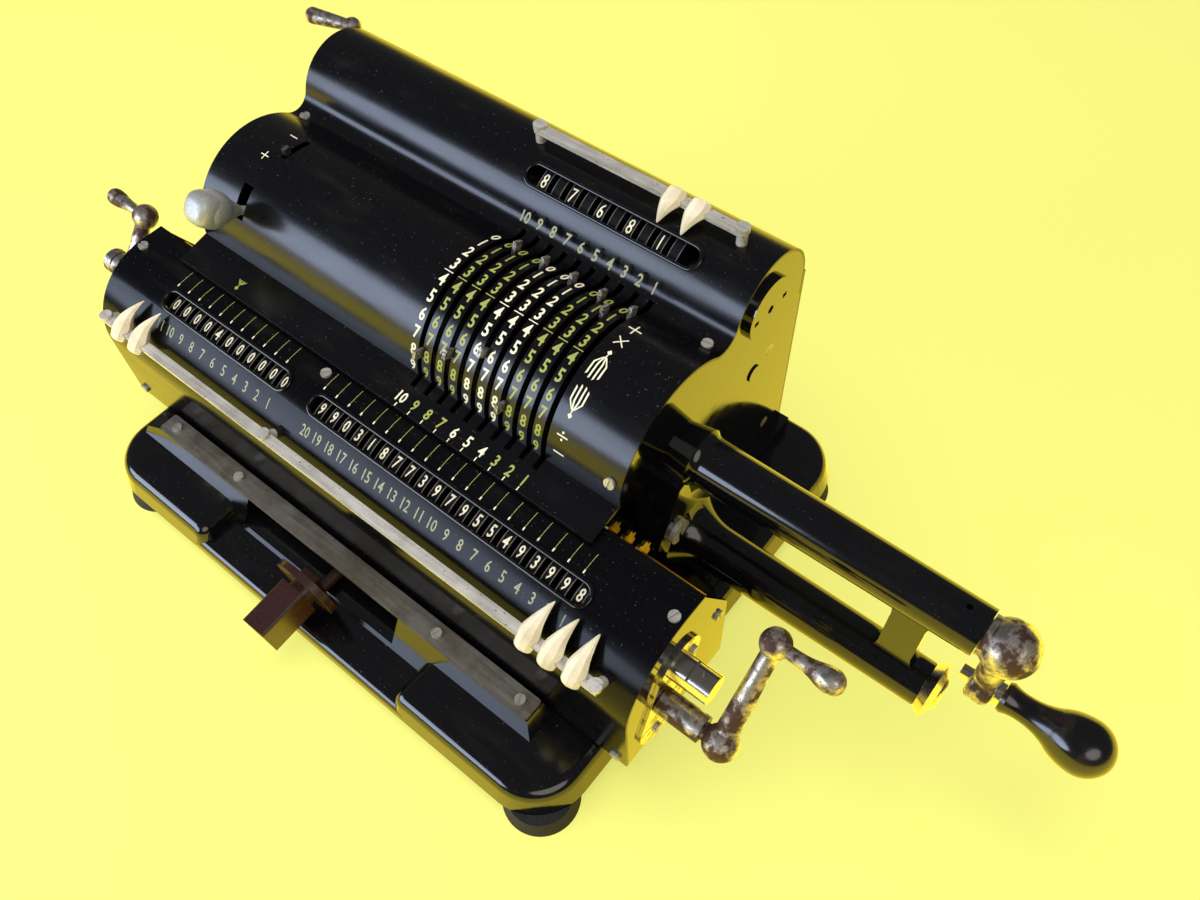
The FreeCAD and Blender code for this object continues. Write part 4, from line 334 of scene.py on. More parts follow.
def stoved_enamel(name, colours, dusty, gloss, coat, index):
    """Stoved black enamel: deep black gloss with faint orange peel, pale dust specks and dull smears."""
    material, tree, spot = start_material(name)
    tint, smear = dusted(tree, spot, colours, dusty)
    peel = add(tree, "ShaderNodeTexNoise", {"Vector": spot, "Scale": per_mm(4.5), "Detail": 1.0})
    rough = add(tree, "ShaderNodeMapRange", {"Value": smear, "From Min": 0.35, "From Max": 0.75,
                                             "To Min": gloss, "To Max": gloss + 0.09})
    return finish_material(material, tree, peel.outputs["Fac"], 0.03, 0.22, Base_Color=tint,
                           Roughness=rough.outputs["Result"], IOR=index, Coat_Weight=coat,
                           Coat_Roughness=gloss * 0.4)


def lacquered_plate(name, colours, low, high):
    """Ground flat plate under many coats of black enamel: a clear dark mirror of what stands beside it,
    and bare rusty nickel on the register plates that are screwed outside it."""
    material, tree, spot = start_material(name)
    tint, smear = dusted(tree, spot, colours, 0.2)
    bare = beyond(tree, spot, low, high)
    pits = add(tree, "ShaderNodeTexNoise", {"Vector": spot, "Scale": per_mm(3.5), "Detail": 6.0})
    stain = add(tree, "ShaderNodeMapRange", {"Value": pits.outputs["Fac"], "From Min": 0.5,
                                             "From Max": 0.66})
    metal = add(tree, "ShaderNodeMix", {0: stain.outputs["Result"], 6: opaque(colours.nickel),
                                        7: opaque(colours.rust)}, data_type="RGBA")
    shade = add(tree, "ShaderNodeMix", {0: bare, 6: tint, 7: metal.outputs[2]}, data_type="RGBA")
    ground = add(tree, "ShaderNodeMapRange", {"Value": smear, "From Min": 0.35, "From Max": 0.75,
                                              "To Min": 0.05, "To Max": 0.12})
    rough = add(tree, "ShaderNodeMath", {0: bare, 1: 0.15, 2: ground.outputs["Result"]},
                operation="MULTIPLY_ADD")
    return finish_material(material, tree, pits.outputs["Fac"], 0.004, 0.1, Base_Color=shade.outputs[2],
                           Roughness=rough.outputs["Value"], Metallic=bare, IOR=1.95)


def nickel_plate(name, colours, wear, shine):
    """Old nickel plate: warm bright metal, pitted, with brown patina and points of rust."""
    material, tree, spot = start_material(name)
    cloud = add(tree, "ShaderNodeTexNoise", {"Vector": spot, "Scale": per_mm(9), "Detail": 6.0,
                                             "Roughness": 0.6})
    pits = add(tree, "ShaderNodeTexNoise", {"Vector": spot, "Scale": per_mm(0.9), "Detail": 2.0})
    stain = add(tree, "ShaderNodeMapRange", {"Value": cloud.outputs["Fac"], "From Min": 0.68 - 0.3 * wear,
                                             "From Max": 0.76 - 0.2 * wear, "To Min": 0.0, "To Max": wear})
    point = add(tree, "ShaderNodeMapRange", {"Value": pits.outputs["Fac"], "From Min": 0.6, "From Max": 0.7,
                                             "To Min": 0.0, "To Max": wear})
    both = add(tree, "ShaderNodeMath", {0: stain.outputs["Result"], 1: point.outputs["Result"]},
               operation="MAXIMUM")
    tint = add(tree, "ShaderNodeMix", {0: both.outputs["Value"], 6: opaque(colours.nickel),
                                       7: opaque(colours.rust)}, data_type="RGBA")
    rough = add(tree, "ShaderNodeMapRange", {"Value": both.outputs["Value"], "To Min": shine, "To Max": 0.6})
    metal = add(tree, "ShaderNodeMapRange", {"Value": both.outputs["Value"], "From Min": 0.2,
                                             "From Max": 1.0, "To Min": 1.0, "To Max": 0.6})
    return finish_material(material, tree, pits.outputs["Fac"], 0.06, 0.4, Base_Color=tint.outputs[2],
                           Roughness=rough.outputs["Result"], Metallic=metal.outputs["Result"])


def lever_plate(name, colours):
    """Nickel-plated setting lever: a nickel finger tab dimmed all over in a fine mottle, and painted shade in
    black on the ring inside the cover.
    """
    material, tree, spot = start_material(name)
    axis = place(0, *DRUM)
    split = add(tree, "ShaderNodeSeparateXYZ", {"Vector": spot})
    flat = add(tree, "ShaderNodeCombineXYZ", {"Y": split.outputs["Y"], "Z": split.outputs["Z"]})
    reach = add(tree, "ShaderNodeVectorMath", {0: flat.outputs["Vector"], 1: (0.0, axis.y, axis.z)},
                operation="DISTANCE")
    # Painted shade: the levers are painted near black inside the cover, where they lie in the shade of the slots.
    shade_inside_cover = add(tree, "ShaderNodeMapRange", {"Value": reach.outputs["Value"], "From Min": LEVER_SHADE_RADIUS * MM,
                                            "From Max": (LEVER_SHADE_RADIUS + 1.5) * MM, "To Min": 1.0,
                                            "To Max": 0.0})
    grain = add(tree, "ShaderNodeTexNoise", {"Vector": spot, "Scale": per_mm(1.2), "Detail": 3.0})
    # Every lever is darkened 45 to 95 percent toward black in a fine mottle.
    fine_mottle = add(tree, "ShaderNodeMapRange", {"Value": grain.outputs["Fac"], "From Min": 0.4, "From Max": 0.6,
                                             "To Min": 0.45, "To Max": 0.95})
    dark = add(tree, "ShaderNodeMath", {0: shade_inside_cover.outputs["Result"], 1: fine_mottle.outputs["Result"]},
               operation="MAXIMUM")
    tint = add(tree, "ShaderNodeMix", {0: dark.outputs["Value"], 6: opaque(colours.nickel),
                                       7: opaque(linear("#0c0a09"))}, data_type="RGBA")
    metal = add(tree, "ShaderNodeMapRange", {"Value": dark.outputs["Value"], "To Min": 1.0, "To Max": 0.1})
    return finish_material(material, tree, grain.outputs["Fac"], 0.03, 0.3, Base_Color=tint.outputs[2],
                           Roughness=0.34, Metallic=metal.outputs["Result"])


def machined_metal(name, tint, rough_low, rough_high, groove_mm, soot, metallic=1.0):
    """Turned or milled metal: plain colour with fine tool marks and a dull brown film in patches."""
    material, tree, spot = start_material(name)
    marks = add(tree, "ShaderNodeTexNoise", {"Vector": spot, "Scale": per_mm(groove_mm), "Detail": 2.0})
    film = add(tree, "ShaderNodeTexNoise", {"Vector": spot, "Scale": per_mm(7), "Detail": 4.0})
    dull = add(tree, "ShaderNodeMapRange", {"Value": film.outputs["Fac"], "From Min": 0.38, "From Max": 0.7,
                                            "To Min": 0.0, "To Max": soot})
    shade = add(tree, "ShaderNodeMix", {0: dull.outputs["Result"], 6: opaque(tint),
                                        7: opaque([part * 0.3 for part in tint])}, data_type="RGBA")
    rough = add(tree, "ShaderNodeMapRange", {"Value": film.outputs["Fac"], "From Min": 0.3, "From Max": 0.7,
                                             "To Min": rough_low, "To Max": rough_high})
    return finish_material(material, tree, marks.outputs["Fac"], 0.02, 0.3, Base_Color=shade.outputs[2],
                           Roughness=rough.outputs["Result"], Metallic=metallic)


def worn_strip(name, pale, film_share, metallic):
    """Steel strip worn along its length: long grey rub marks, brown film and black rust specks."""
    material, tree, spot = start_material(name)
    along = add(tree, "ShaderNodeMapping", {"Vector": spot, "Scale": (0.06, 1.0, 1.0)})
    rubs = add(tree, "ShaderNodeTexNoise", {"Vector": along.outputs["Vector"], "Scale": per_mm(1.6),
                                            "Detail": 4.0})
    film = add(tree, "ShaderNodeTexNoise", {"Vector": spot, "Scale": per_mm(12), "Detail": 5.0,
                                            "Roughness": 0.6})
    specks = add(tree, "ShaderNodeTexNoise", {"Vector": spot, "Scale": per_mm(1.3), "Detail": 2.0})
    brown = add(tree, "ShaderNodeMapRange", {"Value": film.outputs["Fac"], "From Min": 0.42,
                                             "From Max": 0.72, "To Min": 0.0, "To Max": film_share})
    shade = add(tree, "ShaderNodeMix", {0: brown.outputs["Result"], 6: opaque(linear(pale)),
                                        7: opaque(linear("#6d5f4e"))}, data_type="RGBA")
    streak = add(tree, "ShaderNodeMapRange", {"Value": rubs.outputs["Fac"], "From Min": 0.3, "From Max": 0.7,
                                              "To Min": 0.35, "To Max": 0.0})
    ruled = add(tree, "ShaderNodeMix", {0: streak.outputs["Result"], 6: shade.outputs[2],
                                        7: opaque(linear("#4d453b"))}, data_type="RGBA")
    spots = add(tree, "ShaderNodeMapRange", {"Value": specks.outputs["Fac"], "From Min": 0.66,
                                             "From Max": 0.72, "To Min": 0.0, "To Max": 0.8})
    tint = add(tree, "ShaderNodeMix", {0: spots.outputs["Result"], 6: ruled.outputs[2],
                                       7: opaque(linear("#2a1c14"))}, data_type="RGBA")
    rough = add(tree, "ShaderNodeMapRange", {"Value": rubs.outputs["Fac"], "From Min": 0.3, "From Max": 0.7,
                                             "To Min": 0.32, "To Max": 0.55})
    metal = add(tree, "ShaderNodeMapRange", {"Value": spots.outputs["Result"], "To Min": metallic,
                                             "To Max": 0.1})
    return finish_material(material, tree, rubs.outputs["Fac"], 0.04, 0.35, Base_Color=tint.outputs[2],
                           Roughness=rough.outputs["Result"], Metallic=metal.outputs["Result"])


def cast_aluminium():
    """Cast aluminium, hand polished long ago: pale matt grey with casting pores and soft scratches."""
    material, tree, spot = start_material("cast_polished_aluminium")
    pores = add(tree, "ShaderNodeTexNoise", {"Vector": spot, "Scale": per_mm(0.8), "Detail": 2.0})
    cloud = add(tree, "ShaderNodeTexNoise", {"Vector": spot, "Scale": per_mm(6), "Detail": 4.0})
    dark = add(tree, "ShaderNodeMapRange", {"Value": pores.outputs["Fac"], "From Min": 0.56,
                                            "From Max": 0.72, "To Min": 0.0, "To Max": 0.6})
    tint = add(tree, "ShaderNodeMix", {0: dark.outputs["Result"], 6: opaque(linear("#b4b3ae")),
                                       7: opaque(linear("#55524c"))}, data_type="RGBA")
    rough = add(tree, "ShaderNodeMapRange", {"Value": cloud.outputs["Fac"], "From Min": 0.3, "From Max": 0.7,
                                             "To Min": 0.42, "To Max": 0.6})
    return finish_material(material, tree, pores.outputs["Fac"], 0.06, 0.5, Base_Color=tint.outputs[2],
                           Roughness=rough.outputs["Result"], Metallic=0.55)


def mottled_resin(colours):
    """Moulded resin: a brown satin skin above, and painted light in amber on the faces that turn sideways."""
    material, tree, spot = start_material("moulded_mottled_resin")
    facing = add(tree, "ShaderNodeNewGeometry")
    split = add(tree, "ShaderNodeSeparateXYZ", {"Vector": facing.outputs["Normal"]})
    swirl = add(tree, "ShaderNodeTexNoise", {"Vector": spot, "Scale": per_mm(9), "Detail": 4.0,
                                             "Distortion": 1.6})
    # Painted light: faces that turn sideways are painted amber and faces that look up stay brown; the mottle in
    # the amber is the resin's own.
    side_facing = add(tree, "ShaderNodeMapRange", {"Value": split.outputs["Z"], "From Min": 0.6, "From Max": 0.1,
                                           "To Min": 0.0, "To Max": 1.0})
    clear = add(tree, "ShaderNodeMapRange", {"Value": swirl.outputs["Fac"], "From Min": 0.34,
                                             "From Max": 0.6, "To Min": 0.2, "To Max": 0.8})
    depth = add(tree, "ShaderNodeMath", {0: side_facing.outputs["Result"], 1: clear.outputs["Result"]},
                operation="MULTIPLY")
    tint = add(tree, "ShaderNodeMix", {0: depth.outputs["Value"], 6: opaque(colours.brown),
                                       7: opaque(colours.amber)}, data_type="RGBA")
    scuff = add(tree, "ShaderNodeTexNoise", {"Vector": spot, "Scale": per_mm(1.2), "Detail": 3.0})
    rough = add(tree, "ShaderNodeMapRange", {"Value": scuff.outputs["Fac"], "From Min": 0.35,
                                             "From Max": 0.75, "To Min": 0.26, "To Max": 0.42})
    return finish_material(material, tree, scuff.outputs["Fac"], 0.02, 0.2, Base_Color=tint.outputs[2],
                           Roughness=rough.outputs["Result"], IOR=1.6, Subsurface_Weight=0.25,
                           Subsurface_Radius=(1.0, 0.5, 0.1), Subsurface_Scale=3 * MM)


def aged_ivory_resin(colours):
    """Moulded cream resin gone yellow: soft and waxy, browner in random spots, finely scratched."""
    material, tree, spot = start_material("moulded_ivory_resin")
    cloud = add(tree, "ShaderNodeTexNoise", {"Vector": spot, "Scale": per_mm(7), "Detail": 4.0})
    fine_mottle = add(tree, "ShaderNodeTexNoise", {"Vector": spot, "Scale": per_mm(1.5), "Detail": 3.0})
    warm = add(tree, "ShaderNodeMapRange", {"Value": cloud.outputs["Fac"], "From Min": 0.4, "From Max": 0.7,
                                            "To Min": 0.0, "To Max": 0.6})
    tint = add(tree, "ShaderNodeMix", {0: warm.outputs["Result"], 6: opaque(colours.ivory),
                                       7: opaque(linear("#c9b48a"))}, data_type="RGBA")
    dirt = add(tree, "ShaderNodeMapRange", {"Value": fine_mottle.outputs["Fac"], "From Min": 0.62, "From Max": 0.8,
                                            "To Min": 0.0, "To Max": 0.5})
    soiled = add(tree, "ShaderNodeMix", {0: dirt.outputs["Result"], 6: tint.outputs[2],
                                         7: opaque(linear("#8d7752"))}, data_type="RGBA")
    rough = add(tree, "ShaderNodeMapRange", {"Value": fine_mottle.outputs["Fac"], "From Min": 0.3, "From Max": 0.7,
                                             "To Min": 0.28, "To Max": 0.5})
    return finish_material(material, tree, fine_mottle.outputs["Fac"], 0.04, 0.3, Base_Color=soiled.outputs[2],
                           Roughness=rough.outputs["Result"], IOR=1.54, Subsurface_Weight=0.12,
                           Subsurface_Scale=1.5 * MM)


def lacquered_beech(colours):
    """Turned beech under black lacquer: satin gloss with faint grain and brown where hands rub it."""
    material, tree, spot = start_material("black_lacquered_beech")
    along = add(tree, "ShaderNodeMapping", {"Vector": spot, "Scale": (0.12, 1.0, 1.0)})
    grain = add(tree, "ShaderNodeTexNoise", {"Vector": along.outputs["Vector"], "Scale": per_mm(1.4),
                                             "Detail": 3.0})
    rub = add(tree, "ShaderNodeTexNoise", {"Vector": spot, "Scale": per_mm(11), "Detail": 5.0})
    worn = add(tree, "ShaderNodeMapRange", {"Value": rub.outputs["Fac"], "From Min": 0.56, "From Max": 0.72,
                                            "To Min": 0.0, "To Max": 0.5})
    tint = add(tree, "ShaderNodeMix", {0: worn.outputs["Result"], 6: opaque(colours.enamel),
                                       7: opaque(linear("#33221a"))}, data_type="RGBA")
    rough = add(tree, "ShaderNodeMapRange", {"Value": rub.outputs["Fac"], "From Min": 0.35, "From Max": 0.7,
                                             "To Min": 0.16, "To Max": 0.34})
    return finish_material(material, tree, grain.outputs["Fac"], 0.03, 0.25, Base_Color=tint.outputs[2],
                           Roughness=rough.outputs["Result"], IOR=1.5, Coat_Weight=0.5, Coat_Roughness=0.12)


def moulded_rubber():
    """Moulded rubber: flat dark grey with a fine grain and pale dust."""
    material, tree, spot = start_material("moulded_rubber")
    grain = add(tree, "ShaderNodeTexNoise", {"Vector": spot, "Scale": per_mm(0.9), "Detail": 3.0})
    dust = add(tree, "ShaderNodeMapRange", {"Value": grain.outputs["Fac"], "From Min": 0.5, "From Max": 0.8,
                                            "To Min": 0.0, "To Max": 0.35})
    tint = add(tree, "ShaderNodeMix", {0: dust.outputs["Result"], 6: opaque(linear("#1b1a19")),
                                       7: opaque(linear("#4d4a45"))}, data_type="RGBA")
    return finish_material(material, tree, grain.outputs["Fac"], 0.06, 0.5, Base_Color=tint.outputs[2],
                           Roughness=0.85, IOR=1.52)


def wheel_enamel(name, colours, low, high):
    """Satin black enamel of the wheels, and bare bright nickel on the collars at their shaft's ends."""
    material, tree, spot = start_material(name)
    fleck = add(tree, "ShaderNodeTexNoise", {"Vector": spot, "Scale": per_mm(1.1), "Detail": 3.0})
    bare = beyond(tree, spot, low, high)
    dust = add(tree, "ShaderNodeMapRange", {"Value": fleck.outputs["Fac"], "From Min": 0.62,
                                            "From Max": 0.78, "To Min": 0.0, "To Max": 0.4})
    black = add(tree, "ShaderNodeMix", {0: dust.outputs["Result"], 6: opaque(colours.enamel),
                                        7: opaque(linear("#2d2a24"))}, data_type="RGBA")
    metal = add(tree, "ShaderNodeMix", {0: dust.outputs["Result"], 6: opaque(colours.nickel),
                                        7: opaque(colours.rust)}, data_type="RGBA")
    shade = add(tree, "ShaderNodeMix", {0: bare, 6: black.outputs[2], 7: metal.outputs[2]}, data_type="RGBA")
    rough = add(tree, "ShaderNodeMapRange", {"Value": bare, "To Min": 0.42, "To Max": 0.2})
    return finish_material(material, tree, fleck.outputs["Fac"], 0.02, 0.3, Base_Color=shade.outputs[2],
                           Roughness=rough.outputs["Result"], Metallic=bare)


def numeral_paint(name, tint):
    """Wiped-in numeral paint: a dry pale line, thin and rubbed away in spots."""
    material, tree, spot = start_material(name)
    rub = add(tree, "ShaderNodeTexNoise", {"Vector": spot, "Scale": per_mm(1.3), "Detail": 4.0})
    gone = add(tree, "ShaderNodeMapRange", {"Value": rub.outputs["Fac"], "From Min": 0.55, "From Max": 0.8,
                                            "To Min": 0.0, "To Max": 0.6})
    shade = add(tree, "ShaderNodeMix", {0: gone.outputs["Result"], 6: opaque(tint),
                                        7: opaque([part * 0.35 for part in tint])}, data_type="RGBA")
    return finish_material(material, tree, rub.outputs["Fac"], 0.02, 0.3, Base_Color=shade.outputs[2],
                           Roughness=0.5, IOR=1.5)


FINISHES = {}


def make_finishes(colours):
    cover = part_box("carriage_cover")
    collars = (DATUM_X + COUNTER_COLLAR, DATUM_X + PRODUCT_COLLAR)
    FINISHES.update({
        "base_enamel": stoved_enamel("stoved_enamel_on_cast_iron", colours, 0.4, 0.1, 0.3, 1.5),
        "body_enamel": stoved_enamel("stoved_enamel_on_sheet", colours, 0.4, 0.2, 0.0, 1.45),
        "plate_enamel": lacquered_plate("lacquered_ground_plate", colours, cover[0].x / MM - PLATE_MARGIN,
                                        cover[1].x / MM + PLATE_MARGIN),
        "arm_enamel": stoved_enamel("stoved_enamel_on_arms", colours, 0.2, 0.1, 0.2, 1.5),
        "carriage_enamel": stoved_enamel("dulled_enamel_on_carriage", colours, 0.4, 0.16, 0.0, 1.24),
        "nickel": nickel_plate("bright_nickel_plate", colours, 0.35, 0.2),
        "patina_nickel": nickel_plate("browned_nickel_plate", colours, 1.0, 0.28),
        "lever_nickel": lever_plate("nickel_levers_shaded_inside", colours),
        "worn_steel": worn_strip("worn_steel_strip", "#9b9385", 0.75, 0.7),
        "rail_steel": worn_strip("drawn_steel_rail", "#ded8ca", 0.35, 0.45),
        "steel": machined_metal("machined_steel", colours.steel, 0.3, 0.5, 0.7, 0.5),
        "screw_steel": machined_metal("dull_screw_steel", linear("#cfcabd"), 0.3, 0.5, 0.9, 0.6, 0.6),
        "oiled_steel": machined_metal("oiled_black_steel", linear("#17130f"), 0.3, 0.5, 0.7, 0.6),
        "gear_brass": machined_metal("machined_brass", colours.brass, 0.3, 0.5, 0.7, 0.5),
        "dial_enamel": wheel_enamel("satin_dial_enamel", colours, *collars),
        "numeral_enamel": wheel_enamel("satin_wheel_enamel", colours, *collars),
        "knob_aluminium": cast_aluminium(),
        "amber_resin": mottled_resin(colours),
        "ivory_resin": aged_ivory_resin(colours),
        "black_lacquer": lacquered_beech(colours),
        "foot_rubber": moulded_rubber(),
        # Pale metal of the painted highlight along the apron's front edge.
        "edge_highlight_finish": machined_metal("apron_edge_highlight_metal", linear("#8a867a"), 0.3, 0.45, 0.8, 0.7),
        # Pale grey paint of the painted highlights on the wheel and dial rims.
        "rim_highlight_finish": numeral_paint("wheel_rim_highlight_paint", linear("#77746a")),
        "cream_paint": numeral_paint("cream_numeral_paint", colours.cream),
        "gold_paint": numeral_paint("gold_numeral_paint", colours.gold),
        "dim_paint": numeral_paint("dulled_numeral_paint", colours.dim),
    })


# ---------------------------------------------------------------- marks

def outlines(*loops):
    """A flat shape one unit thick from closed outlines, for wrapping onto the metal."""
    work = bmesh.new()
    for loop in loops:
        base = work.faces.new([work.verts.new((u, v, -0.5)) for u, v in loop])
        top = bmesh.ops.extrude_face_region(work, geom=[base])
        bmesh.ops.translate(work, vec=(0, 0, 1), verts=[item for item in top["geom"]
                                                        if isinstance(item, bmesh.types.BMVert)])
    bmesh.ops.recalc_face_normals(work, faces=work.faces)
    return shape_of(work)


def shape_of(work):
    """Points and faces of a flat shape, cut across every tenth so that it bends with a roll."""
    for step in range(-4, 5):
        bmesh.ops.bisect_plane(work, geom=work.verts[:] + work.edges[:] + work.faces[:], dist=1e-5,
                               plane_co=(0, step * 0.1, 0), plane_no=(0, 1, 0))
    bmesh.ops.triangulate(work, faces=work.faces)
    work.verts.index_update()
    faces = [[vert.index for vert in face.verts] for face in work.faces]
    shape = ([tuple(vert.co) for vert in work.verts], faces)
    work.free()
    return shape


def bar(width, height):
    x, y = width / 2, height / 2
    return [(-x, -y), (x, -y), (x, y), (-x, y)]


def turned(loop, degrees):
    cosine, sine = math.cos(math.radians(degrees)), math.sin(math.radians(degrees))
    return [(u * cosine - v * sine, u * sine + v * cosine) for u, v in loop]


def moved(loop, across, up):
    return [(u + across, v + up) for u, v in loop]


def cross(arm, stroke):
    """The outline of a plus sign."""
    a, s = arm / 2, stroke / 2
    return [(-s, -a), (s, -a), (s, -s), (a, -s), (a, s), (s, s), (s, a), (-s, a), (-s, s), (-a, s),
            (-a, -s), (-s, -s)]


def plain_mesh(carrier):
    """The mesh of an object as its modifiers, or its text, leave it."""
    return bpy.data.meshes.new_from_object(carrier.evaluated_get(bpy.context.evaluated_depsgraph_get()))


def glyph(text, weight):
    """The shape of a text, one unit high and centred, from the built-in font."""
    if text == "1":
        return outlines(bar(0.13 + 2 * weight, 1.0))
    curve = bpy.data.curves.new("glyph", "FONT")
    curve.body = text
    curve.offset = weight
    curve.extrude = 0.5
    curve.resolution_u = 2
    carrier = bpy.data.objects.new("glyph", curve)
    bpy.context.scene.collection.objects.link(carrier)
    mesh = plain_mesh(carrier)
    work = bmesh.new()
    work.from_mesh(mesh)
    bmesh.ops.remove_doubles(work, verts=work.verts, dist=0.0005)
    low = [min(vert.co[axis] for vert in work.verts) for axis in (0, 1)]
    high = [max(vert.co[axis] for vert in work.verts) for axis in (0, 1)]
    scale = 1 / (high[1] - low[1])
    for vert in work.verts:
        vert.co = ((vert.co.x - (low[0] + high[0]) / 2) * scale,
                   (vert.co.y - (low[1] + high[1]) / 2) * scale, vert.co.z)
    bpy.data.objects.remove(carrier)
    bpy.data.curves.remove(curve)
    bpy.data.meshes.remove(mesh)
    return shape_of(work)


def add_piece(name, mesh, body):
    """Put a finished mesh into the scene as a piece that rides on a body."""
    piece = bpy.data.objects.new(name, mesh)
    bpy.context.scene.collection.objects.link(piece)
    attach(piece, body)
    return piece


def skin(name, rings, closed=False):
    """Join rings of points into one closed mesh: a loop where closed, else with a face at each end."""
    work = bmesh.new()
    rows = [[work.verts.new(point) for point in ring] for ring in rings]
    pairs = list(zip(rows, rows[1:])) + ([(rows[-1], rows[0])] if closed else [])
    for low, high in pairs:
        for index in range(len(low)):
            after = (index + 1) % len(low)
            work.faces.new((low[index], low[after], high[after], high[index]))
    if not closed:
        work.faces.new(rows[0])
        work.faces.new(rows[-1])
    bmesh.ops.recalc_face_normals(work, faces=work.faces)
    mesh = bpy.data.meshes.new(name)
    work.to_mesh(mesh)
    work.free()
    return mesh


class Marks:
    """Painted marks that are gathered into one mesh on one body."""

    def __init__(self, relief):
        self.relief = relief / MM
        self.points = []
        self.faces = []

    def keep(self, shape, spot):
        start = len(self.points)
        self.points += [spot(*point) for point in shape[0]]
        self.faces += [[start + index for index in face] for face in shape[1]]

    def on_roll(self, shape, height, narrow, x, angle, centre, radius):
        """Wrap a shape round an axis along X. The angle is counted from the rear, over the top."""
        def spot(u, v, depth):
            turn = math.radians(angle) - v * height / radius
            reach = radius + depth * 2 * self.relief
            return place(x + u * height * narrow, centre[0] + reach * math.cos(turn),
                         centre[1] + reach * math.sin(turn))
        self.keep(shape, spot)

    def on_flat(self, shape, height, narrow, x, y, z, slope):
        """Lay a shape on a sheet that rises towards the rear by slope degrees."""
        up = (math.cos(math.radians(slope)), math.sin(math.radians(slope)))

        def spot(u, v, depth):
            lift = depth * 2 * self.relief
            return place(x + u * height * narrow, y + v * height * up[0] - lift * up[1],
                         z + v * height * up[1] + lift * up[0])
        self.keep(shape, spot)

    def finish(self, name, body, paint, slot):
        mesh = bpy.data.meshes.new(name)
        mesh.from_pydata(self.points, [], self.faces)
        mesh.materials.append(FINISHES[paint])
        add_piece(name, mesh, body)


def arc_tree():
    """Geometry Nodes: a row of thin bars along X, each bent round an axis along X."""
    tree = bpy.data.node_groups.new("row_of_arcs", "GeometryNodeTree")
    sockets = {}
    kinds = {"Radius": "Float", "Start": "Float", "Sweep": "Float", "Segments": "Int", "Width": "Float",
             "Thickness": "Float", "Count": "Int", "Pitch": "Vector", "First": "Vector",
             "Finish": "Material"}
    for name, kind in kinds.items():
        socket = tree.interface.new_socket(name, in_out="INPUT", socket_type="NodeSocket" + kind)
        sockets[name] = socket.identifier
    tree.interface.new_socket("Geometry", in_out="OUTPUT", socket_type="NodeSocketGeometry")
    given = tree.nodes.new("NodeGroupInput").outputs
    arc = add(tree, "GeometryNodeCurveArc", {"Resolution": given["Segments"], "Radius": given["Radius"],
                                             "Start Angle": given["Start"], "Sweep Angle": given["Sweep"]},
              mode="RADIUS")
    section = add(tree, "GeometryNodeCurvePrimitiveQuadrilateral",
                  {"Width": given["Thickness"], "Height": given["Width"]})
    bent = add(tree, "GeometryNodeCurveToMesh", {"Curve": arc.outputs["Curve"],
                                                 "Profile Curve": section.outputs["Curve"],
                                                 "Fill Caps": True})
    stood = add(tree, "GeometryNodeTransform", {"Geometry": bent.outputs["Mesh"],
                                                "Rotation": Euler((math.pi / 2, 0, math.pi / 2))})
    row = add(tree, "GeometryNodeMeshLine", {"Count": given["Count"], "Start Location": given["First"],
                                             "Offset": given["Pitch"]})
    copies = add(tree, "GeometryNodeInstanceOnPoints", {"Points": row.outputs["Mesh"],
                                                        "Instance": stood.outputs["Geometry"]})
    whole = add(tree, "GeometryNodeRealizeInstances", {"Geometry": copies.outputs["Instances"]})
    coat = add(tree, "GeometryNodeSetMaterial", {"Geometry": whole.outputs["Geometry"],
                                                 "Material": given["Finish"]})
    add(tree, "NodeGroupOutput", {0: coat.outputs["Geometry"]})
    return tree, sockets


TREES = {}


def row_of_arcs(name, body, paint, slot, centre, radius, start, sweep, width, thickness, first, count,
                pitch=PITCH, segments=8):
    """Run the tree, turn its result into a plain mesh and let it ride on a body."""
    if "arcs" not in TREES:
        TREES["arcs"] = arc_tree()
    tree, sockets = TREES["arcs"]
    carrier = bpy.data.objects.new(name + "_rule", bpy.data.meshes.new(name + "_rule"))
    bpy.context.scene.collection.objects.link(carrier)
    modifier = carrier.modifiers.new("rule", "NODES")
    modifier.node_group = tree
    values = {"Radius": radius * MM, "Start": math.radians(start), "Sweep": math.radians(sweep),
              "Segments": segments, "Width": width * MM, "Thickness": thickness * MM, "Count": count,
              "Pitch": (pitch * MM, 0.0, 0.0), "First": tuple(place(first, *centre)),
              "Finish": FINISHES[paint]}
    for key, value in values.items():
        modifier[sockets[key]] = value
    carrier.update_tag()
    mesh = plain_mesh(carrier)
    bpy.data.objects.remove(carrier)
    mesh.name = name
    add_piece(name, mesh, body)


# ---------------------------------------------------------------- operators

class CALCULATOR_OT_finishes(bpy.types.Operator):
    """Make the finishes and give every part of the frame the one that it is made of"""
    bl_idname = "calculator.finishes"
    bl_label = "Part finishes"

    def execute(self, context):
        make_finishes(context.scene.calculator_colours)
        slots = {part["node"]: part["material_slot"] for part in frame["record"]["subparts"]}
        for name, part in frame["nodes"].items():
            part.data.materials.clear()
            part.data.materials.append(FINISHES[SPECIAL_FINISHES.get(name, slots[name])])
        return {"FINISHED"}


def plain_arrow():
    """An arrow one unit high: a diamond head, a short neck and a tail that opens in four feathers."""
    loops = [[(0, 0.5), (-0.075, 0.41), (0, 0.32), (0.075, 0.41)], moved(bar(0.04, 0.09), 0, 0.27)]
    for spread, foot in ((-0.2, -0.42), (-0.07, -0.5), (0.07, -0.5), (0.2, -0.42)):
        side = math.copysign(0.02, spread)
        loops.append([(spread - 0.025, 0.0), (spread - 0.025, foot), (spread + 0.025, foot + 0.05),
                      (spread + 0.025, 0.0), (spread * 0.12 + 0.02 + side * 0.5, 0.24),
                      (spread * 0.12 - 0.02 + side * 0.5, 0.24)])
    return outlines(*loops)


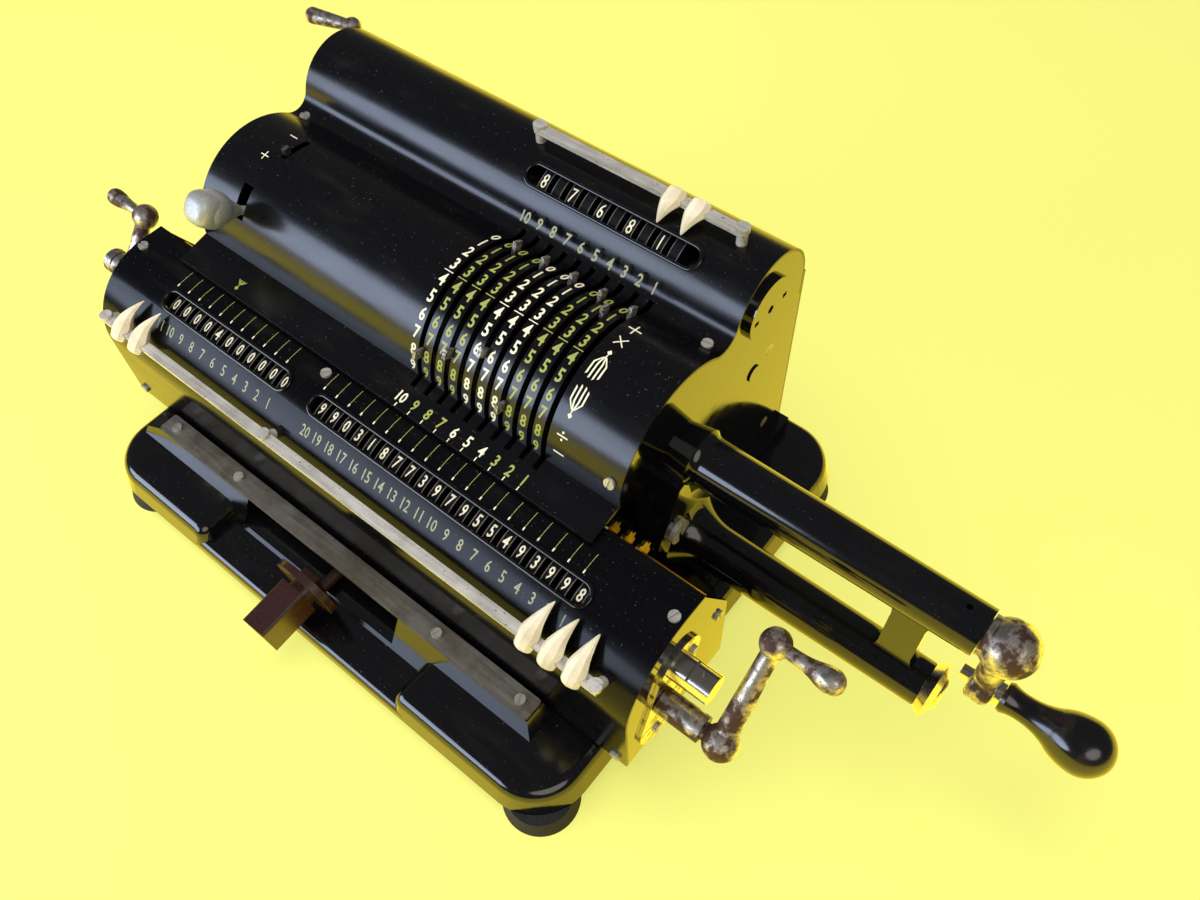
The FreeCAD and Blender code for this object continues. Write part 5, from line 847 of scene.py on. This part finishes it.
def sign_shapes():
    """The signs of the four kinds of reckoning, and an arrow that points each way."""
    arrow = plain_arrow()
    back = ([(u, -v, w) for u, v, w in arrow[0]], [face[::-1] for face in arrow[1]])
    dot = bar(0.18, 0.18)
    return {"plus": outlines(cross(1, 0.1)), "minus": outlines(bar(1, 0.12)),
            "times": outlines(turned(cross(1.2, 0.1), 45)),
            "divide": outlines(bar(1, 0.12), moved(dot, 0, 0.32), moved(dot, 0, -0.32)),
            "arrow": arrow, "arrow_back": back}


class CALCULATOR_OT_cover_numerals(bpy.types.Operator):
    """Letter the top cover: numerals beside the slots, column numbers, signs and arrows"""
    bl_idname = "calculator.cover_numerals"
    bl_label = "Cover numerals"

    def execute(self, context):
        sizes = context.scene.calculator_marks
        digits = [glyph(str(digit), COVER_BOLD) for digit in range(10)]
        cream, gold, dim = Marks(sizes.relief), Marks(sizes.relief), Marks(sizes.relief)
        tall, label = sizes.cover_height / MM, sizes.label_height / MM
        tick, dash = outlines(bar(5.0, 0.4)), outlines(bar(0.5, 2.2))
        for column in range(10):
            # The numerals change colour every three columns, counted from the right.
            paint = cream if (9 - column) // 3 % 2 else gold
            x = FIRST_COLUMN + PITCH * column
            for digit in range(10):
                paint.on_roll(digits[digit], tall, COVER_NARROW, x - NUMERALS_LEFT,
                              SLOT_ZERO + SLOT_DIGIT_TURN * digit, DRUM, COVER_RADIUS)
            paint.on_roll(tick, 1, 1, x - NUMERALS_LEFT, SLOT_TICK, DRUM, COVER_RADIUS)
            text = glyph(str(10 - column), COVER_BOLD)
            dim.on_flat(text, label, LABEL_NARROW, x, *UPPER_NUMBERS)
            paint.on_flat(text, label, LABEL_NARROW, x, *APRON_NUMBERS)
            cream.on_flat(dash, 1, 1, x, *APRON_TICKS)
        shapes = sign_shapes()
        for shape, size, x, angle in SIGNS:
            cream.on_roll(shapes[shape], size, 1, x, angle, DRUM, COVER_RADIUS)
        gold.on_flat(shapes["arrow_back"], 14, 1.1, APRON_ARROW_X, *APRON_ARROW)
        cream.finish("cover_numerals_cream", "machine", "cream_paint", "body_enamel")
        gold.finish("cover_numerals_gold", "machine", "gold_paint", "body_enamel")
        dim.finish("cover_numerals_dim", "machine", "dim_paint", "body_enamel")
        # Painted highlight: a thin strip of pale metal along the apron's front edge stands in for the light that
        # the edge catches.
        edge = Marks(sizes.relief)
        edge.on_flat(outlines(bar(APRON_EDGE_LENGTH, 0.2)), 1, 1, APRON_EDGE_X, *APRON_EDGE)
        edge.finish("apron_edge_highlight_strip", "machine", "edge_highlight_finish", "body_enamel")
        return {"FINISHED"}


class CALCULATOR_OT_carriage_numerals(bpy.types.Operator):
    """Letter the carriage: place numbers under the windows and ruled lines above them"""
    bl_idname = "calculator.carriage_numerals"
    bl_label = "Carriage numerals"

    def execute(self, context):
        sizes = context.scene.calculator_marks
        dim = Marks(sizes.relief)
        tall = sizes.label_height / MM
        registers = (("product", FIRST_PRODUCT, len(PRODUCT_DIGITS)),
                     ("counter", FIRST_COUNTER, len(COUNTER_DIGITS)))
        for name, first, count in registers:
            for number in range(count):
                dim.on_roll(glyph(str(count - number), PLACE_BOLD), tall, PLACE_NARROW,
                            first + PITCH * number, PLACE_NUMBERS, NOSE, NOSE_RADIUS)
        dim.finish("carriage_numerals", "carriage", "dim_paint", "body_enamel")
        for name, first, count in registers:
            row = (first - RULED_LINES_LEFT, count)
            row_of_arcs(f"{name}_ruled_lines", "carriage", "gold_paint", "body_enamel", NOSE, NOSE_RADIUS,
                        *RULED_LINES, *row)
            row_of_arcs(f"{name}_ruled_feet", "carriage", "cream_paint", "body_enamel", NOSE, NOSE_RADIUS,
                        *RULED_FEET, *row)
        return {"FINISHED"}


class CALCULATOR_OT_wheel_numerals(bpy.types.Operator):
    """Letter the wheels of both registers with ten numerals each, and paint a highlight on their edges"""
    bl_idname = "calculator.wheel_numerals"
    bl_label = "Wheel numerals"

    def execute(self, context):
        sizes = context.scene.calculator_marks
        digits = [glyph(str(digit), WHEEL_BOLD) for digit in range(10)]
        for name, first, shown in (("product", FIRST_PRODUCT, PRODUCT_DIGITS),
                                   ("counter", FIRST_COUNTER, COUNTER_DIGITS)):
            marks = Marks(sizes.relief * 2)
            for number, digit in enumerate(shown):
                for other in range(10):
                    marks.on_roll(digits[other], sizes.wheel_height / MM, WHEEL_NARROW,
                                  first + PITCH * number, WHEEL_READING + DIGIT_TURN * (other - digit),
                                  WHEELS, WHEEL_RADIUS)
            marks.finish(f"{name}_wheel_numerals", f"{name}_wheels", "cream_paint", "numeral_enamel")
            # Painted highlight: a pale grey ring on each side of every wheel stands in for light on the wheel's
            # rim.
            for side, shift in (("left", -WHEEL_WIDTH / 2 + 0.2), ("right", WHEEL_WIDTH / 2 - 0.2)):
                row_of_arcs(f"{name}_wheel_{side}_edges", f"{name}_wheels", "rim_highlight_finish",
                            "numeral_enamel", WHEELS, WHEEL_RADIUS, *WHEEL_EDGES, first + shift,
                            len(shown), segments=49)
        return {"FINISHED"}


class CALCULATOR_OT_dial_numerals(bpy.types.Operator):
    """Letter the ten check dials with their numerals, each on its own dial"""
    bl_idname = "calculator.dial_numerals"
    bl_label = "Dial numerals"

    def execute(self, context):
        sizes = context.scene.calculator_marks
        digits = [glyph(str(digit), DIAL_BOLD) for digit in range(10)]
        for column, digit in enumerate(SET_DIGITS):
            marks = Marks(sizes.relief * 2)
            x, number = FIRST_COLUMN + PITCH * column, f"{10 - column:02d}"
            for other in range(1, 10):
                marks.on_roll(digits[other], sizes.dial_height / MM, WHEEL_NARROW, x,
                              DIAL_READING + DIGIT_TURN * (digit - other), DIALS, DIAL_RADIUS)
            marks.finish(f"dial_numerals_{number}", f"dial_{number}", "cream_paint", "dial_enamel")
            # Painted highlight: a pale grey ring on each side of the dial stands in for light on its rim.
            row_of_arcs(f"dial_edges_{number}", f"dial_{number}", "rim_highlight_finish", "dial_enamel", DIALS,
                        DIAL_RADIUS, *DIAL_EDGES, x - DIAL_WIDTH / 2, 2, pitch=DIAL_WIDTH, segments=41)
        return {"FINISHED"}


class CALCULATOR_OT_pointers(bpy.types.Operator):
    """Carve the seven claw pointers, each bored for its rail, in place of the plain wedges"""
    bl_idname = "calculator.pointers"
    bl_label = "Claw pointers"

    # Each station: share of the reach, how far out, half the depth, half the width.
    STATIONS = ((-0.3, 0.8, 2.4, 3.2), (-0.25, 0.7, 3.9, 4.4), (-0.05, 0.8, 4.9, 5.0),
                (0.14, 1.2, 4.7, 5.0), (0.28, 1.9, 3.8, 4.4), (0.42, 2.3, 3.0, 3.6),
                (0.55, 2.2, 2.4, 2.9), (0.68, 1.8, 1.85, 2.2), (0.8, 1.25, 1.35, 1.5),
                (0.9, 0.7, 0.85, 0.95), (0.97, 0.25, 0.45, 0.5), (1.0, 0.0, 0.15, 0.15))
    # The claw's cut across, as shares of half the width and half the depth.
    SECTION = ((0.0, 1.0), (0.62, 0.66), (1.0, 0.05), (0.72, -0.72), (0.3, -0.95), (-0.3, -0.95),
               (-0.72, -0.72), (-1.0, 0.05), (-0.62, 0.66))

    def execute(self, context):
        for name, lean in POINTERS.items():
            rail, tip = (UPPER_RAIL, UPPER_TIP) if name.startswith("check") else (LOWER_RAIL, LOWER_TIP)
            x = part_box(name)[0].x / MM - DATUM_X + POINTER_WIDTH / 2
            claw = self.bored(name + "_claw", self.carve(x, rail, tip, lean), x, rail)
            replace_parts(add_piece(name + "_claw", claw, name), name)
        return {"FINISHED"}

    def carve(self, x, rail, tip, lean):
        side = 1 if tip[0] > rail[0] else -1
        run, rise = (tip[0] - rail[0]) * side, tip[1] - rail[1]
        reach = math.hypot(run, rise)
        cy, cz = run / reach, rise / reach
        rings = []
        for share, middle, deep, wide in self.STATIONS:
            along = share * reach
            shift = lean * max(share, 0) ** 1.5
            ring = []
            for u, v in self.SECTION:
                out = middle + v * deep
                ring.append(place(x + shift + u * wide, rail[0] + side * (along * cy - out * cz),
                                  rail[1] + along * cz + out * cy))
            rings.append(ring)
        return skin("claw", rings)

    def bored(self, name, mesh, x, rail):
        """Cut the way for the rail with a boolean, and keep the result as a plain mesh."""
        carrier = bpy.data.objects.new(name + "_blank", mesh)
        half_y, half_z = (value + POINTER_PLAY for value in RAIL_HALF)
        work = bmesh.new()
        bmesh.ops.create_cube(work, size=1.0)
        bmesh.ops.scale(work, vec=(POINTER_WIDTH * 3 * MM, half_y * 2 * MM, half_z * 2 * MM),
                        verts=work.verts)
        bmesh.ops.translate(work, vec=place(x, *rail), verts=work.verts)
        cutter_mesh = bpy.data.meshes.new("rail_way")
        work.to_mesh(cutter_mesh)
        work.free()
        cutter = bpy.data.objects.new("rail_way", cutter_mesh)
        for item in (carrier, cutter):
            bpy.context.scene.collection.objects.link(item)
        modifier = carrier.modifiers.new("way", "BOOLEAN")
        modifier.operation = "DIFFERENCE"
        modifier.solver = "EXACT"
        modifier.object = cutter
        result = plain_mesh(carrier)
        for item in (carrier, cutter):
            bpy.data.objects.remove(item)
        result.name = name
        result.materials.clear()
        result.materials.append(FINISHES["ivory_resin"])
        result.shade_smooth()
        result.set_sharp_from_angle(angle=math.radians(24))
        return result


class CALCULATOR_OT_castings(bpy.types.Operator):
    """Add the rolled beads round the numeral windows and the cast body of the clear knob"""
    bl_idname = "calculator.castings"
    bl_label = "Beads and cast knob"

    def execute(self, context):
        for name, first, shown in (("product", FIRST_PRODUCT, PRODUCT_DIGITS),
                                   ("counter", FIRST_COUNTER, COUNTER_DIGITS)):
            last = first + PITCH * (len(shown) - 1)
            self.bead(name + "_window_bead", "carriage", first, last, NOSE, NOSE_RADIUS, NOSE_WINDOW)
        self.bead("check_window_bead", "machine", *CHECK_WINDOW_ENDS, LOBE, LOBE_RADIUS, LOBE_WINDOW)
        self.cast_knob()
        return {"FINISHED"}

    def casting(self, name, body, finish, rings, closed):
        mesh = skin(name, rings, closed)
        mesh.shade_smooth()
        mesh.materials.append(FINISHES[finish])
        add_piece(name, mesh, body)

    def bead(self, name, body, x0, x1, centre, radius, angle):
        """A round bead that follows the rim of a window on a rolled sheet."""
        half, thick = WINDOW_HALF + RIM_WIDTH / 2, RIM_WIDTH / 2
        middle = radius + RIM_HEIGHT - BEAD_SUNK
        steps, sides = 16, 10
        path = []
        for end, start in ((x1, -90), (x0, 90)):
            for step in range(steps + 1):
                turn = math.radians(start + 180 * step / steps)
                path.append((end + half * math.cos(turn), half * math.sin(turn), math.cos(turn),
                             math.sin(turn)))
        rings = []
        for x, arc, across, up in path:
            ring = []
            for step in range(sides):
                turn = math.tau * step / sides
                side, lift = thick * math.cos(turn), thick * BEAD_FLATNESS * math.sin(turn)
                y, z = on_circle(centre, middle + lift, angle - math.degrees((arc + side * up) / middle))
                ring.append(place(x + side * across, y, z))
            rings.append(ring)
        self.casting(name, body, "base_enamel", rings, True)

    def cast_knob(self):
        """A squarish cast bulb over the clear knob's stem, fatter at its outer end."""
        x, angle, reach = KNOB
        turn = math.radians(angle)
        out, up = (math.cos(turn), math.sin(turn)), (-math.sin(turn), math.cos(turn))
        steps, sides = 24, 28
        rings = []
        for step in range(1, steps):
            tilt = math.pi * step / steps
            along = -math.cos(tilt)
            swell = (1 + KNOB_SWELL * along) / (1 + KNOB_SWELL)
            girth = KNOB_RADIUS * swell * abs(math.sin(tilt)) ** KNOB_FULLNESS
            share = math.copysign(abs(along) ** KNOB_BLUNTNESS, along)
            far = reach + KNOB_OUTWARD + KNOB_HALF_LENGTH * share
            ring = []
            for side in range(sides):
                spin = math.tau * side / sides
                across, high = (girth * math.copysign(abs(value) ** KNOB_SQUARENESS, value)
                                for value in (math.cos(spin), math.sin(spin)))
                ring.append(place(x + across, DRUM[0] + far * out[0] + high * up[0],
                                  DRUM[1] + far * out[1] + high * up[1]))
            rings.append(ring)
        self.casting("clear_knob_casting", "clear_knob", "knob_aluminium", rings, False)


class CALCULATOR_OT_stage(bpy.types.Operator):
    """Set up the floor, the soft lights and the camera"""
    bl_idname = "calculator.stage"
    bl_label = "Stage"

    def execute(self, context):
        settings = context.scene.calculator_stage
        scene = context.scene
        camera = bpy.data.cameras.new("camera")
        camera.lens = CAMERA_LENS
        camera.sensor_width = 36
        eye = bpy.data.objects.new("camera", camera)
        eye.location = place(*CAMERA_SPOT)
        eye.rotation_euler = [math.radians(angle) for angle in CAMERA_TURN]
        scene.collection.objects.link(eye)
        scene.camera = eye
        self.lay_floor(scene, settings)
        self.hang_light(scene, "window_light", settings.window_power, (-600, -960, 450), (1.2, 0.6),
                        "#d3e2ff")
        self.hang_light(scene, "side_light", settings.side_power, (1100, -700, 1100), (1.4, 1.0),
                        "#fff8ee")
        sky = self.hang_light(scene, "top_light", settings.top_power, (-100, 60, 1600), (1.8, 1.8),
                              "#fbfbff")
        sky.visible_glossy = False
        world = bpy.data.worlds.new("room")
        world.use_nodes = True
        world.node_tree.nodes["Background"].inputs["Color"].default_value = (1, 1, 1, 1)
        world.node_tree.nodes["Background"].inputs["Strength"].default_value = settings.room_level
        scene.world = world
        scene.view_settings.view_transform = "Standard"
        return {"FINISHED"}

    def lay_floor(self, scene, settings):
        mesh = bpy.data.meshes.new("floor")
        half = FLOOR_HALF * MM
        corners = [(-half, -half, 0), (half, -half, 0), (half, half, 0), (-half, half, 0)]
        mesh.from_pydata(corners, [], [(0, 1, 2, 3)])
        floor = bpy.data.objects.new("floor", mesh)
        scene.collection.objects.link(floor)
        material = bpy.data.materials.new("pale_paper_floor")
        material.use_nodes = True
        tree = material.node_tree
        tree.nodes.clear()
        rays = add(tree, "ShaderNodeLightPath")
        # Painted reflection: in reflections only, the floor glows 2.5 times as strong and turns a deeper gold
        # (#ffe02e), so that glossy black mirrors it golden.
        bright = add(tree, "ShaderNodeMath", {0: rays.outputs["Is Glossy Ray"], 1: 1.5, 2: 1.0},
                     operation="MULTIPLY_ADD")
        seen = add(tree, "ShaderNodeMath", {0: rays.outputs["Is Camera Ray"],
                                            1: rays.outputs["Is Glossy Ray"]},
                   operation="ADD", use_clamp=True)
        share = add(tree, "ShaderNodeMath", {0: seen.outputs["Value"], 1: 0.6}, operation="MULTIPLY")
        paper = add(tree, "ShaderNodeBsdfDiffuse", {"Color": opaque(settings.floor)})
        deep = add(tree, "ShaderNodeMix", {0: rays.outputs["Is Glossy Ray"], 6: opaque(settings.floor),
                                           7: opaque(linear("#ffe02e"))}, data_type="RGBA")
        glow = add(tree, "ShaderNodeEmission", {"Color": deep.outputs[2],
                                                "Strength": bright.outputs["Value"]})
        blend = add(tree, "ShaderNodeMixShader", {0: share.outputs["Value"], 1: paper.outputs["BSDF"],
                                                  2: glow.outputs["Emission"]})
        add(tree, "ShaderNodeOutputMaterial", {"Surface": blend.outputs["Shader"]})
        mesh.materials.append(material)

    def hang_light(self, scene, name, power, spot, size, tint):
        lamp = bpy.data.lights.new(name, "AREA")
        lamp.shape = "ELLIPSE"
        lamp.size, lamp.size_y = size
        lamp.energy = power
        lamp.color = linear(tint)
        hung = bpy.data.objects.new(name, lamp)
        hung.location = place(*spot)
        aim = place(*LIGHT_AIM) - hung.location
        hung.rotation_euler = aim.to_track_quat("-Z", "Y").to_euler()
        scene.collection.objects.link(hung)
        return hung


OPERATORS = (CALCULATOR_OT_finishes, CALCULATOR_OT_cover_numerals, CALCULATOR_OT_carriage_numerals,
             CALCULATOR_OT_wheel_numerals, CALCULATOR_OT_dial_numerals,
             CALCULATOR_OT_pointers, CALCULATOR_OT_castings, CALCULATOR_OT_stage)
GROUPS = {"calculator_colours": CalculatorColours, "calculator_marks": CalculatorMarks,
          "calculator_stage": CalculatorStage}


class CALCULATOR_PT_panel(bpy.types.Panel):
    """List the steps and settings of the calculator"""
    bl_idname = "CALCULATOR_PT_panel"
    bl_label = "Pinwheel Calculator"
    bl_space_type = "VIEW_3D"
    bl_region_type = "UI"
    bl_category = "Calculator"

    def draw(self, context):
        for operator in OPERATORS:
            self.layout.operator(operator.bl_idname)
        for name, group in GROUPS.items():
            box = self.layout.box()
            for prop in group.__annotations__:
                box.prop(getattr(context.scene, name), prop)


def register():
    for group in GROUPS.values():
        bpy.utils.register_class(group)
    for name, group in GROUPS.items():
        setattr(bpy.types.Scene, name, bpy.props.PointerProperty(type=group))
    for operator in (*OPERATORS, CALCULATOR_PT_panel):
        bpy.utils.register_class(operator)


def unregister():
    for operator in reversed((*OPERATORS, CALCULATOR_PT_panel)):
        bpy.utils.unregister_class(operator)
    for name in GROUPS:
        delattr(bpy.types.Scene, name)
    for group in reversed(GROUPS.values()):
        bpy.utils.unregister_class(group)


def main():
    register()
    for operator in OPERATORS:
        category, name = operator.bl_idname.split(".")
        getattr(getattr(bpy.ops, category), name)()


if __name__ == "__main__":
    main()
